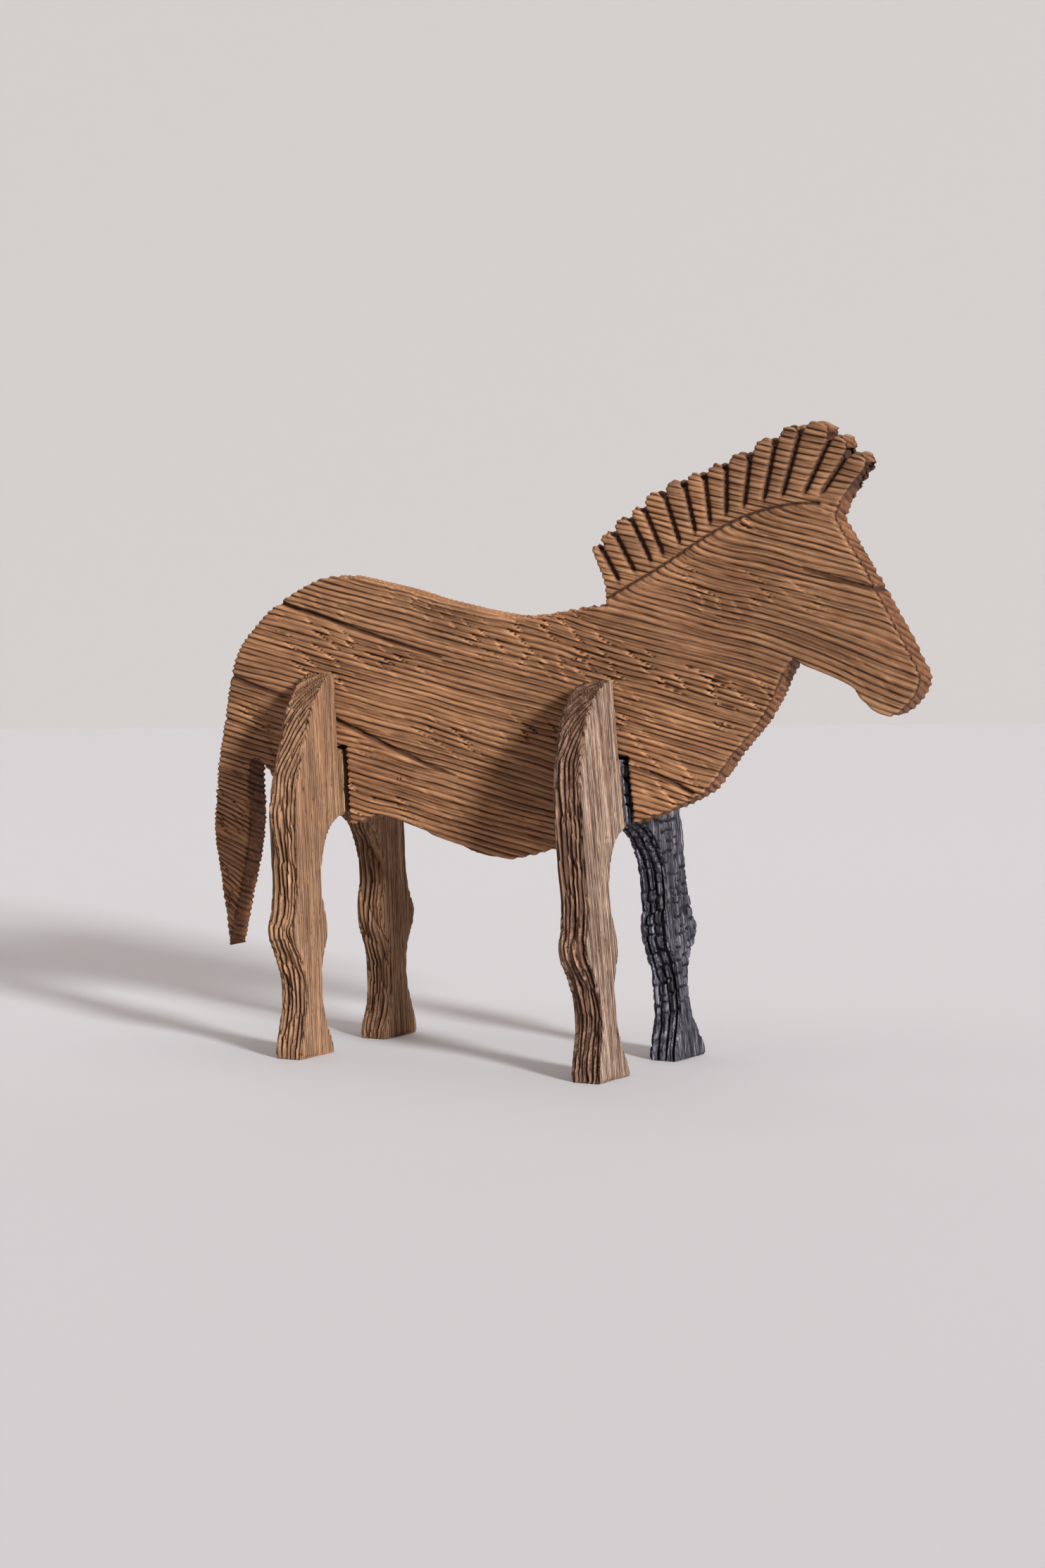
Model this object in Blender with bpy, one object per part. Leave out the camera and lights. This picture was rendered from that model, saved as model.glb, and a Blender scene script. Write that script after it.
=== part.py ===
"""A zebra of weathered softwood: one carved body board that stands in two slotted leg boards.

Metres, +Z up, +X towards the nose. The origin is on the ground, under the middle of the figure.
"""

import math
import random

import bmesh
import bpy
from mathutils import Matrix, Vector
from mathutils.geometry import interpolate_bezier

# Body board
LENGTH = 0.555  # back of the tail to the tip of the nose
BODY_HEIGHT = 0.374  # tip of the tail to the top of the mane
BODY_THICKNESS = 0.024
SLOT_LEVEL = 39.3  # percent of BODY_HEIGHT at which both slots end

# Leg boards
LEG_THICKNESS = 0.023
SEAT_HEIGHT = 0.214  # hoof to the seat between the horns, along a leg board
HORN_HEIGHT = 0.055  # seat to the top of a horn
BRIDGE_DEPTH = 0.048  # seat down to the top of the arch between the legs
STANCE_WIDTH = 0.158  # across the hooves of one board
LEG_SPACING = 0.236  # hind board to front board, at the ground
STANCE_SETBACK = 0.0535  # how far the middle of the four hooves lies behind the middle of the figure
HIND_LEAN = 2.5  # degrees that a board's top leans towards the tail
FRONT_LEAN = 5.3
HIND_SHOULDER = 0.86  # width of the upper part of a horn, against the drawn outline
FRONT_SHOULDER = 1.0
CHARRED_ANKLE = 0.93  # width of the charred ankle, which the fire ate into, against the drawn outline

# Fits
SEAT_GAP = 0.0003  # between the bottom of a notch and the end of a slot
SLOT_CLEARANCE = 0.0008  # between a leg board and its slot, on the tail's side
SLOT_PLAY = 0.0042  # the same on the nose's side, where a gap shows
NOTCH_CLEARANCE = 0.0008  # each side of the body board between the horns

# Weathered grain
RING_PITCH = 0.0042  # from one hard growth ring to the next
RING_NOTCH = 0.0009  # how deep the soft wood is worn back on the edge of the body board
BODY_GRAIN = -12.0  # degrees from level towards the nose
GROOVE_WIDTH = 0.0024
GROOVE_DEPTH = 0.0012
GROOVE_LENGTHS = (0.06, 0.18)
GROOVE_GAP = 0.008  # between two grooves in line
GROOVE_MARGIN = 0.004  # left between a groove and the board's outline
GROOVE_ROWS = 2  # growth rings from one row of grooves to the next
CUTTER_PROUD = 0.3  # share of a groove's depth that its cutter's middle stands outside the surface
CUTTER_SIDES = 4  # flat sides around a groove's cutter
EDGE_GROOVES = (-0.2, 0.2)  # shares of LEG_THICKNESS, from the middle of the edge
EDGE_GROOVE_SWING = 0.06  # share of LEG_THICKNESS that an edge groove winds to each side
EDGE_GROOVE_WAVE = 0.09  # length of one winding
GROOVE_END = 0.3  # width of a winding groove at its ends, against its middle

# Mane
TUFT_RISE = 0.34  # share of a tuft's width
TUFT_TOP = ((0.1, 0.65), (0.5, 1.0), (0.93, 0.6))  # points over a tuft, as shares of its width and of its rise
MANE_GROOVE_WIDTH = 0.0040
MANE_GROOVE_DEPTH = 0.0032
MANE_GROOVE_TOP = 0.22  # share of a groove's length that it runs on past the crest
MANE_GROOVE_FOOT = 0.08  # share of its length that it ends above the mane line
MANE_LINE_WIDTH = 0.0022
CRACK_WIDTH = 0.0030

# Charred half of the front board
CHAR_START = -0.013  # the fire reached from here to the far leg
CHAR_CELL = 0.016  # from one row of cracks to the next
CHAR_CRACK_WIDTH = 0.0022
CHAR_CRACK_DEPTH = 0.0014
CHAR_MARGIN = 0.003
CHAR_TILT = 0.18  # radians that a row of cracks may tilt
CHAR_SCATTER = 0.2  # share of CHAR_CELL that a crack may lie above or below its row
CHAR_SPLIT = (0.35, 0.65)  # shares of the leg's width between which a row is parted

# Seeds of the grooves' and cracks' places
BODY_SEED = 100
HIND_SEED = 200
FRONT_SEED = 300
CHAR_SEED = 7

# Mesh
CURVE_STEPS = 2  # straight pieces between two points of an outline
SHORTEST_EDGE = 0.0004  # nearer points of an outline are left out
WELD = 0.00001  # nearer corners become one
FLAT_ANGLE = 0.0005  # radians between faces that become one

# The body's outline, in percent of LENGTH from the back of the tail and percent of BODY_HEIGHT from its tip
TAIL_AND_BACK = (
    (2.3, 0.0), (0.9, 12.8), (0.0, 23.5), (0.4, 32.9), (1.4, 41.4), (2.5, 50.3), (3.8, 56.7), (6.1, 61.5),
    (9.5, 66.0), (13.3, 69.3), (17.3, 71.7), (21.4, 71.9), (28.1, 70.1), (34.8, 67.6), (41.3, 65.8),
    (44.7, 65.0), (49.4, 65.5), (54.2, 66.8), (58.0, 67.6),
)
MANE_BACK_EDGE = ((58.0, 67.6), (57.7, 70.3), (56.6, 74.3), (55.7, 76.8))
MANE_CREST = (
    (55.7, 76.8), (57.1, 78.1), (61.4, 82.9), (65.9, 87.4), (71.5, 90.4), (77.7, 93.9), (84.3, 98.6),
    (88.3, 97.5), (90.3, 94.3), (93.0, 91.8),
)
MANE_FRONT_EDGE = ((93.0, 91.8), (91.0, 88.2), (89.4, 85.0), (88.9, 83.0))
FOREHEAD_TO_THROAT = (
    (88.9, 83.0), (90.6, 78.9), (93.5, 72.2), (96.6, 64.4), (99.1, 58.0), (100.0, 54.8), (99.1, 51.6),
    (97.3, 48.9), (95.1, 48.1), (92.9, 50.2), (90.8, 53.2), (88.3, 54.8), (85.9, 56.1), (83.4, 57.8),
)
CHEST_TO_TAIL = (
    (83.4, 57.8), (82.0, 54.8), (80.7, 50.5), (78.6, 45.7), (75.5, 40.6), (71.7, 33.7), (68.1, 30.7),
    (63.6, 28.1), (58.4, 25.4), (53.0, 23.0), (48.1, 20.9), (44.0, 19.5), (39.8, 20.3), (33.9, 23.0),
    (28.3, 25.7), (25.0, 26.5), (21.6, 24.9), (16.9, 24.9), (13.3, 27.0), (10.1, 31.0), (8.0, 35.0),
    (6.4, 36.6), (5.7, 33.6), (5.8, 24.9), (5.2, 18.2), (4.3, 12.0), (3.1, 4.5), (2.3, 0.0),
)
MANE_LINE = ((58.6, 68.6), (66.5, 74.9), (71.5, 79.4), (76.9, 83.2), (82.7, 85.3), (88.2, 85.6))
TUFT_WIDTHS = (9, 14, 16, 12, 18, 17, 16, 17, 19, 21, 20, 23, 17, 17)  # against each other, along the crest
GROOVE_SPREAD = 0.85  # below 1, the grooves fan out from the withers

# Splits along the grain, in the same percentages, each from its wide end
CRACKS = (
    ((9.8, 67.3), (12.7, 65.9), (17.1, 64.2), (21.9, 62.0), (27.8, 59.6), (34.5, 57.0)),
    ((1.9, 53.1), (4.9, 51.6), (11.4, 48.6)),
    ((17.5, 45.4), (21.4, 43.3), (26.5, 40.2), (32.9, 36.6), (36.5, 35.0)),
    ((69.8, 33.6), (67.8, 34.9), (65.4, 36.3), (61.6, 37.7)),
    ((95.2, 70.5), (91.7, 71.4), (88.5, 72.6), (84.8, 74.2)),
)

# A leg's edges, in percent of half STANCE_WIDTH from the middle and percent of the height of each edge
LEG_OUTER_EDGE = (
    (100, -3), (100, 0), (99, 3), (92, 9), (87, 14), (87, 20), (94, 26), (102, 30), (104, 34), (98, 38.5),
    (93.5, 45), (94, 54), (92.5, 65), (88.5, 74.5), (80, 83), (66, 91), (47, 96.5), (28, 99.3),
)
LEG_INNER_EDGE = (
    (44, -5), (44, 0), (46, 6), (52, 12), (57, 20), (58.5, 29), (58, 36), (53, 43), (48, 48), (46, 55),
    (48, 62), (52, 69), (52, 76.5), (48, 84), (42, 90), (32, 95.5), (17, 99), (0, 100),
)
SHOULDER = (65, 87)  # where a horn narrows, from and to, in percent of the outer edge's height
ANKLE = (8, 28)  # from and to, in the same percent

# Colours and roughness
WOOD = ((0.36, 0.20, 0.10), 0.75)
GREY_WOOD = ((0.27, 0.17, 0.10), 0.8)
CHAR = ((0.018, 0.018, 0.022), 0.5)

UPRIGHT = Matrix.Rotation(math.radians(90), 4, "X")  # from the drawing's XY plane to XZ
ACROSS = Matrix(((0, 0, 1, 0), (1, 0, 0, 0), (0, 1, 0, 0), (0, 0, 0, 1)))  # from XY to YZ


def clear_scene():
    for thing in list(bpy.data.objects):
        bpy.data.objects.remove(thing, do_unlink=True)


def collection(name):
    made = bpy.data.collections.new(name)
    bpy.context.scene.collection.children.link(made)
    return made


def material(name, look):
    """A plain material from a pair of colour and roughness."""
    colour, roughness = look
    made = bpy.data.materials.new(name)
    made.use_nodes = True
    shader = made.node_tree.nodes["Principled BSDF"]
    shader.inputs["Base Color"].default_value = (*colour, 1)
    shader.inputs["Roughness"].default_value = roughness
    shader.inputs["Metallic"].default_value = 0.0
    return made


def smooth_run(points, steps=CURVE_STEPS):
    """Points of one smooth open curve through the given points, both ends included."""
    knots = [Vector(point) for point in points]
    last = len(knots) - 1
    run = []
    for i in range(last):
        start, end = knots[i], knots[i + 1]
        reach = (end - start).length / 3
        leave = (end - knots[max(i - 1, 0)]).normalized() * reach
        arrive = (knots[min(i + 2, last)] - start).normalized() * reach
        run += interpolate_bezier(start, start + leave, end - arrive, end, steps + 1)[:-1]
    run.append(knots[last])
    return [Vector((point[0], point[1])) for point in run]


def along(run, distance):
    """The point at a distance along a run."""
    for start, end in zip(run, run[1:]):
        step = (end - start).length
        if distance <= step:
            return start.lerp(end, distance / step)
        distance -= step
    return run[-1].copy()


def run_length(run):
    return sum((end - start).length for start, end in zip(run, run[1:]))


def body_scale(percents):
    """Drawing percentages to metres on the body board, before the drawing is set to its place."""
    return [Vector((x / 100 * LENGTH, z / 100 * BODY_HEIGHT)) for x, z in percents]


def mane_notches():
    """The points between the tufts, along the crest."""
    crest = smooth_run(body_scale(MANE_CREST))
    unit = run_length(crest) / sum(TUFT_WIDTHS)
    distances = [unit * sum(TUFT_WIDTHS[:i]) for i in range(len(TUFT_WIDTHS) + 1)]
    return [along(crest, distance) for distance in distances]


def tuft_tops(notches):
    """A rounded top from each notch to the next, higher at its back."""
    run = []
    for start, end in zip(notches, notches[1:]):
        across = end - start
        out = Vector((-across.y, across.x)) * TUFT_RISE
        top = [start + across * forward + out * rise for forward, rise in TUFT_TOP]
        run += smooth_run((start, *top))
    return run


def body_outline():
    """The smooth closed outline of the body board, clockwise from the tip of the tail."""
    runs = [smooth_run(body_scale(TAIL_AND_BACK)), smooth_run(body_scale(MANE_BACK_EDGE))]
    runs.append(tuft_tops(mane_notches()))
    runs.append(smooth_run(body_scale(MANE_FRONT_EDGE)))
    runs.append(smooth_run(body_scale(FOREHEAD_TO_THROAT)))
    runs.append(smooth_run(body_scale(CHEST_TO_TAIL)))
    outline = [point for run in runs for point in run]
    pairs = zip(outline, outline[1:] + outline[:1])
    return [point for point, after in pairs if (after - point).length > SHORTEST_EDGE]


def coat_outline():
    """The outline below the mane, in which the grain of the coat shows."""
    runs = [smooth_run(body_scale(TAIL_AND_BACK)), smooth_run(body_scale(MANE_LINE))]
    runs.append(smooth_run(body_scale(FOREHEAD_TO_THROAT)))
    runs.append(smooth_run(body_scale(CHEST_TO_TAIL)))
    return [point for run in runs for point in run]


def to_board(point):
    """From the body's drawing to its place over the leg boards."""
    seat = SEAT_HEIGHT - SLOT_LEVEL / 100 * BODY_HEIGHT
    return Vector((point.x - LENGTH / 2, point.y + seat))


def inward(before, after):
    """The inward normal of a clockwise outline between two points."""
    step = (after - before).normalized()
    return Vector((step.y, -step.x))


def ring_axis(grain):
    """The direction across the growth rings in a board whose grain runs at this angle."""
    return Vector((-math.sin(grain), math.cos(grain)))


def worn_outline(outline, grain):
    """The outline with the soft wood between the growth rings worn back."""
    axis = ring_axis(grain)
    dense = []
    for start, end in zip(outline, outline[1:] + outline[:1]):
        low, high = axis.dot(start) / RING_PITCH * 2, axis.dot(end) / RING_PITCH * 2
        shares = [(k - low) / (high - low) for k in range(math.ceil(min(low, high)), math.ceil(max(low, high)))]
        crossings = [start.lerp(end, share) for share in sorted(shares)]
        if all((start - point).length > RING_PITCH * 0.5 for point in dense[-1:] + crossings[:1]):
            dense.append(start)
        dense += crossings
    worn = []
    for i, point in enumerate(dense):
        ring = axis.dot(point) / RING_PITCH
        depth = RING_NOTCH * (0.5 - 0.5 * math.cos(2 * math.pi * ring))
        worn.append(point + inward(dense[i - 1], dense[(i + 1) % len(dense)]) * depth)
    return worn


def inside_spans(outline, origin, direction):
    """Where a line lies inside an outline, as pairs of distances from its origin."""
    normal = Vector((-direction.y, direction.x))
    hits = []
    for start, end in zip(outline, outline[1:] + outline[:1]):
        low, high = normal.dot(start - origin), normal.dot(end - origin)
        if (low > 0) != (high > 0):
            hits.append(direction.dot(start.lerp(end, low / (low - high)) - origin))
    hits.sort()
    return list(zip(hits[::2], hits[1::2]))


def grain_grooves(outline, grain, seed):
    """Rows of long grooves in the soft wood, as pairs of end points inside an outline."""
    axis = ring_axis(grain)
    direction = Vector((math.cos(grain), math.sin(grain)))
    rings = [axis.dot(point) / RING_PITCH for point in outline]
    grooves = []
    for row in range(math.floor(min(rings)), math.ceil(max(rings)), GROOVE_ROWS):
        choose = random.Random(seed + row)
        origin = axis * (row + 0.5) * RING_PITCH
        for low, high in inside_spans(outline, origin, direction):
            at = low + GROOVE_MARGIN + choose.uniform(0, GROOVE_GAP)
            while at + GROOVE_LENGTHS[0] < high - GROOVE_MARGIN:
                end = min(at + choose.uniform(*GROOVE_LENGTHS), high - GROOVE_MARGIN)
                grooves.append((origin + direction * at, origin + direction * end))
                at = end + GROOVE_GAP
    return grooves


def cut_by(board, cutter):
    """Takes a cutter's shape out of a board."""
    cutter.hide_render = True
    cutter.display_type = "WIRE"
    modifier = board.modifiers.new(cutter.name, "BOOLEAN")
    modifier.operation = "DIFFERENCE"
    modifier.solver = "EXACT"
    modifier.object = cutter


def object_of(name, mesh, where):
    made = bpy.data.objects.new(name, mesh)
    where.objects.link(made)
    return made


def mesh_of_curve(drawn):
    """The mesh of a curve object, which is removed."""
    evaluated = drawn.evaluated_get(bpy.context.evaluated_depsgraph_get())
    mesh = bpy.data.meshes.new_from_object(evaluated)
    bpy.data.objects.remove(drawn, do_unlink=True)
    return mesh


def finish_mesh(mesh, facing, flat=False):
    """Welds a mesh, joins its coplanar triangles when asked, and turns it from the drawing to its facing."""
    shape = bmesh.new()
    shape.from_mesh(mesh)
    bmesh.ops.remove_doubles(shape, verts=shape.verts, dist=WELD)
    if flat:
        bmesh.ops.dissolve_limit(shape, angle_limit=FLAT_ANGLE, verts=shape.verts, edges=shape.edges)
    bmesh.ops.recalc_face_normals(shape, faces=shape.faces)
    bmesh.ops.transform(shape, matrix=facing, verts=shape.verts)
    shape.to_mesh(mesh)
    shape.free()
    return mesh


def curve_object(name, dimensions, closed, points):
    curve = bpy.data.curves.new(name, "CURVE")
    curve.dimensions = dimensions
    spline = curve.splines.new("POLY")
    spline.points.add(len(points) - 1)
    for knot, point in zip(spline.points, points):
        knot.co = (*point, 1)
    spline.use_cyclic_u = closed
    made = bpy.data.objects.new(name, curve)
    bpy.context.scene.collection.objects.link(made)
    return made


def board(name, outline, thickness, facing, where):
    """A flat board of an outline, centred on the drawing's plane."""
    drawn = curve_object(name, "2D", True, [(point.x, point.y, 0) for point in outline])
    drawn.data.fill_mode = "BOTH"
    drawn.data.extrude = thickness / 2
    return object_of(name, finish_mesh(mesh_of_curve(drawn), facing, flat=True), where)


def groove_cutter(name, grooves, width, depth, thickness, facing, where, rings=2):
    """Spindles sunk into both faces of a board, one for each pair of end points."""
    proud = depth * CUTTER_PROUD
    shape = bmesh.new()
    for start, end in grooves:
        step = end - start
        turn = Matrix.Rotation(math.atan2(step.y, step.x), 4, "Z") @ Matrix.Rotation(math.radians(90), 4, "Y")
        size = Matrix.Diagonal((depth + proud, width / 2, step.length / 2, 1))
        middle = (start + end) / 2
        for face in (-1, 1):
            place = Matrix.Translation((middle.x, middle.y, face * (thickness / 2 + proud)))
            whole = place @ turn @ size
            bmesh.ops.create_uvsphere(shape, u_segments=CUTTER_SIDES, v_segments=rings, radius=1, matrix=whole)
    bmesh.ops.transform(shape, matrix=facing, verts=shape.verts)
    bmesh.ops.recalc_face_normals(shape, faces=shape.faces)
    mesh = bpy.data.meshes.new(name)
    shape.to_mesh(mesh)
    shape.free()
    return object_of(name, mesh, where)


def winding_cutter(name, paths, width, facing, where):
    """Thin tubes along paths on a board's surface, narrowing to both ends."""
    shape = bmesh.new()
    for path in paths:
        drawn = curve_object(name, "3D", False, path)
        drawn.data.bevel_depth = width / 2
        drawn.data.bevel_resolution = 0
        drawn.data.use_fill_caps = True
        drawn.data.splines[0].points[0].radius = GROOVE_END
        drawn.data.splines[0].points[-1].radius = GROOVE_END
        mesh = finish_mesh(mesh_of_curve(drawn), facing)
        shape.from_mesh(mesh)
        bpy.data.meshes.remove(mesh)
    joined = bpy.data.meshes.new(name)
    shape.to_mesh(joined)
    shape.free()
    return object_of(name, joined, where)


def box_cutter(name, low, high, place, where):
    """A box between two corners, in the frame of a placed board."""
    low, high = Vector(low), Vector(high)
    size = Matrix.Diagonal((*(high - low), 1))
    shape = bmesh.new()
    bmesh.ops.create_cube(shape, size=1, matrix=place @ Matrix.Translation((low + high) / 2) @ size)
    mesh = bpy.data.meshes.new(name)
    shape.to_mesh(mesh)
    shape.free()
    return object_of(name, mesh, where)


def leg_place(offset, lean):
    """A leg board's frame: on the ground under its middle, its top leaning towards the tail."""
    return Matrix.Translation((offset - STANCE_SETBACK, 0, 0)) @ Matrix.Rotation(-math.radians(lean), 4, "Y")


def body_board(places, parts, cutters):
    """The body, neck, head, mane and tail, with a slot down over each leg board."""
    grain = math.radians(BODY_GRAIN)
    outline = [to_board(point) for point in body_outline()]
    made = board("body_board", worn_outline(outline, grain), BODY_THICKNESS, UPRIGHT, parts)

    for name, place in places.items():
        low = (-LEG_THICKNESS / 2 - SLOT_CLEARANCE, -BODY_THICKNESS, 0)
        high = (LEG_THICKNESS / 2 + SLOT_PLAY, BODY_THICKNESS, SEAT_HEIGHT + SEAT_GAP)
        cut_by(made, box_cutter(f"{name}_slot", low, high, place, cutters))

    coat = [to_board(point) for point in coat_outline()]
    grooves = grain_grooves(coat, grain, BODY_SEED)
    size = (GROOVE_WIDTH, GROOVE_DEPTH, BODY_THICKNESS, UPRIGHT, cutters)
    cut_by(made, groove_cutter("coat_grooves", grooves, *size))

    size = (MANE_GROOVE_WIDTH, MANE_GROOVE_DEPTH, BODY_THICKNESS, UPRIGHT, cutters)
    cut_by(made, groove_cutter("mane_grooves", mane_grooves(), *size, rings=4))

    lines = [(MANE_LINE, MANE_LINE_WIDTH)] + [(crack, CRACK_WIDTH) for crack in CRACKS]
    for i, (line, width) in enumerate(lines):
        run = [to_board(point) for point in smooth_run(body_scale(line))]
        level = BODY_THICKNESS / 2 + width / 2 * CUTTER_PROUD
        paths = [[(point.x, point.y, face * level) for point in run] for face in (-1, 1)]
        cut_by(made, winding_cutter(f"split_{i}", paths, width, UPRIGHT, cutters))
    return made


def mane_grooves():
    """The grooves between the tufts, from past the crest down towards the mane line."""
    notches = mane_notches()
    crest_length = run_length(notches)
    line = smooth_run(body_scale(MANE_LINE))
    grooves = []
    for i in range(1, len(notches) - 1):
        share = run_length(notches[:i + 1]) / crest_length
        foot = along(line, run_length(line) * share ** GROOVE_SPREAD)
        top = notches[i] + (notches[i] - foot) * MANE_GROOVE_TOP
        bottom = foot.lerp(notches[i], MANE_GROOVE_FOOT)
        grooves.append((to_board(top), to_board(bottom)))
    return grooves


def leg_outer_edge(shoulder, ankle, steps=CURVE_STEPS):
    """The outer edge of a leg and its horn, from below the hoof to the top of the horn."""
    edge = []
    for width, height in LEG_OUTER_EDGE:
        rise = (height - SHOULDER[0]) / (SHOULDER[1] - SHOULDER[0])
        narrow = 1 - (1 - shoulder) * min(1, max(0, rise))
        if ANKLE[0] < height < ANKLE[1]:
            narrow *= ankle
        edge.append((width / 200 * STANCE_WIDTH * narrow, height / 100 * (SEAT_HEIGHT + HORN_HEIGHT)))
    edge.append((BODY_THICKNESS / 2 + NOTCH_CLEARANCE, SEAT_HEIGHT + HORN_HEIGHT))
    return smooth_run(edge, steps)


def leg_outline(shoulder, far_ankle):
    """A leg board: two legs, an arch between them, and two horns that hold the body board."""
    arch_height = SEAT_HEIGHT - BRIDGE_DEPTH
    inner = [(width / 200 * STANCE_WIDTH, height / 100 * arch_height) for width, height in LEG_INNER_EDGE]
    inner = smooth_run(inner)
    far = leg_outer_edge(shoulder, far_ankle)
    near = leg_outer_edge(shoulder, 1)
    seat = Vector((near[-1].x, SEAT_HEIGHT))
    outline = [seat, *reversed(far), *inner[:-1]]
    for point in [*reversed(inner), *near, seat]:
        outline.append(Vector((-point.x, point.y)))
    return outline


def leg_board(name, place, shoulder, far_ankle, seed, parts, cutters):
    """One leg board, its hooves cut level with the ground."""
    grain = math.radians(90)
    outline = leg_outline(shoulder, far_ankle)
    made = board(name, outline, LEG_THICKNESS, ACROSS, parts)

    below = ((-LENGTH, -STANCE_WIDTH, -SEAT_HEIGHT), (LENGTH, STANCE_WIDTH, 0))
    ground = box_cutter(f"{name}_ground", *below, place.inverted(), cutters)
    cut_by(made, ground)
    size = (GROOVE_WIDTH, GROOVE_DEPTH, LEG_THICKNESS, ACROSS, cutters)
    cut_by(made, groove_cutter(f"{name}_grooves", grain_grooves(outline, grain, seed), *size))
    cut_by(made, edge_cutter(f"{name}_edge_grooves", shoulder, far_ankle, cutters))
    return made


def edge_cutter(name, shoulder, far_ankle, cutters):
    """Grooves that wind up the outer edge of each leg."""
    paths = []
    for side, ankle in ((-1, 1), (1, far_ankle)):
        edge = leg_outer_edge(shoulder, ankle, 1)[2:-2]
        for i, share in enumerate(EDGE_GROOVES):
            path = []
            for before, point, after in zip(edge, edge[1:], edge[2:]):
                wind = EDGE_GROOVE_SWING * math.sin(point.y / EDGE_GROOVE_WAVE * 2 * math.pi + i + side)
                out = point - inward(after, before) * GROOVE_DEPTH * CUTTER_PROUD
                path.append((side * out.x, out.y, (share + wind) * LEG_THICKNESS))
            paths.append(path)
    return winding_cutter(name, paths, GROOVE_WIDTH, ACROSS, cutters)


def char_cracks(outline):
    """Cracks across the charred leg, as pairs of end points, one row for each cell of char."""
    choose = random.Random(CHAR_SEED)
    cracks = []
    top = SEAT_HEIGHT + HORN_HEIGHT
    for row in range(1, math.ceil(top / CHAR_CELL)):
        tilt = choose.uniform(-CHAR_TILT, CHAR_TILT)
        direction = Vector((math.cos(tilt), math.sin(tilt)))
        for low, high in inside_spans(outline, Vector((0, row * CHAR_CELL)), direction):
            low = max(low, CHAR_START)
            split = low + (high - low) * choose.uniform(*CHAR_SPLIT)
            ends = ((low + CHAR_MARGIN, split), (split + CHAR_MARGIN, high - CHAR_MARGIN))
            for start, end in ends:
                if end - start > CHAR_CELL and high > 0:
                    shift = Vector((0, (row + choose.uniform(-CHAR_SCATTER, CHAR_SCATTER)) * CHAR_CELL))
                    cracks.append((shift + direction * start, shift + direction * end))
    return cracks


def char_far_half(made, outline, char, cutters):
    """Cracks the far half of the front board and gives it the colour of char."""
    size = (CHAR_CRACK_WIDTH, CHAR_CRACK_DEPTH, LEG_THICKNESS, ACROSS, cutters)
    cut_by(made, groove_cutter("char_cracks", char_cracks(outline), *size))
    shape = bmesh.new()
    shape.from_mesh(made.data)
    everything = [*shape.verts, *shape.edges, *shape.faces]
    bmesh.ops.bisect_plane(shape, geom=everything, plane_co=(0, CHAR_START, 0), plane_no=(0, 1, 0))
    for face in shape.faces:
        face.material_index = int(face.calc_center_median().y > CHAR_START)
    shape.to_mesh(made.data)
    shape.free()
    made.data.materials.append(char)


def main():
    clear_scene()
    parts = collection("wooden_zebra")
    cutters = collection("cutters")
    places = {
        "hind": leg_place(-LEG_SPACING / 2, HIND_LEAN),
        "front": leg_place(LEG_SPACING / 2, FRONT_LEAN),
    }
    body = body_board(places, parts, cutters)
    shape = (HIND_SHOULDER, 1, HIND_SEED)
    hind = leg_board("hind_leg_board", places["hind"], *shape, parts, cutters)
    shape = (FRONT_SHOULDER, CHARRED_ANKLE, FRONT_SEED)
    front = leg_board("front_leg_board", places["front"], *shape, parts, cutters)
    body.data.materials.append(material("weathered_wood", WOOD))
    hind.data.materials.append(material("weathered_leg_wood", WOOD))
    front.data.materials.append(material("grey_leg_wood", GREY_WOOD))
    char_far_half(front, leg_outline(FRONT_SHOULDER, CHARRED_ANKLE), material("char", CHAR), cutters)
    for name, made in (("hind", hind), ("front", front)):
        for thing in [made] + [modifier.object for modifier in made.modifiers]:
            thing.matrix_world = places[name]


main()
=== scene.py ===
"""A zebra of weathered softwood in three boards: worn grain, a carved mane, splits and a charred leg."""

import math

import bpy
import numpy as np
from mathutils import Matrix, Vector
from mathutils.geometry import delaunay_2d_cdt, interpolate_bezier
from mathutils.kdtree import KDTree


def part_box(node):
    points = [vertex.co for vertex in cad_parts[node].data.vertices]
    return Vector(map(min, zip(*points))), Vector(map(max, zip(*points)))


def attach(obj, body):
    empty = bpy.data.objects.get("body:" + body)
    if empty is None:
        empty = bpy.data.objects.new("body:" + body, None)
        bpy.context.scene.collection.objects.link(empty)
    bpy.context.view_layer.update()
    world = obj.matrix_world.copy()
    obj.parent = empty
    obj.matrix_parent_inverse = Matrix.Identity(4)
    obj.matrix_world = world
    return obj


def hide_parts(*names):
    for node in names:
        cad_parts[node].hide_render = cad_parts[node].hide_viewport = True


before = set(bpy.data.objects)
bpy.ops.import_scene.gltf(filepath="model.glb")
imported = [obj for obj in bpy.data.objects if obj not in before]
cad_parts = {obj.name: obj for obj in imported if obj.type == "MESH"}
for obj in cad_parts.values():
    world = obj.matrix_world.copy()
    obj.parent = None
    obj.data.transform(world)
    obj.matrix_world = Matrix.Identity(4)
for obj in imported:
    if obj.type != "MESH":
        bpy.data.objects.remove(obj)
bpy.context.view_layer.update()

# Sizes and outlines, as in the part's source
LENGTH = 0.555  # back of the tail to the tip of the nose
BODY_HEIGHT = 0.374  # tip of the tail to the top of the mane
BODY_THICKNESS = 0.024
SLOT_LEVEL = 39.3  # percent of BODY_HEIGHT at which both slots end
LEG_THICKNESS = 0.023
SEAT_HEIGHT = 0.214  # hoof to the seat between the horns, along a leg board
HORN_HEIGHT = 0.055  # seat to the top of a horn
HORN_TOP = SEAT_HEIGHT + HORN_HEIGHT
BRIDGE_DEPTH = 0.048  # seat down to the top of the arch between the legs
STANCE_WIDTH = 0.158  # across the hooves of one board
LEG_SPACING = 0.236  # hind board to front board, at the ground
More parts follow.
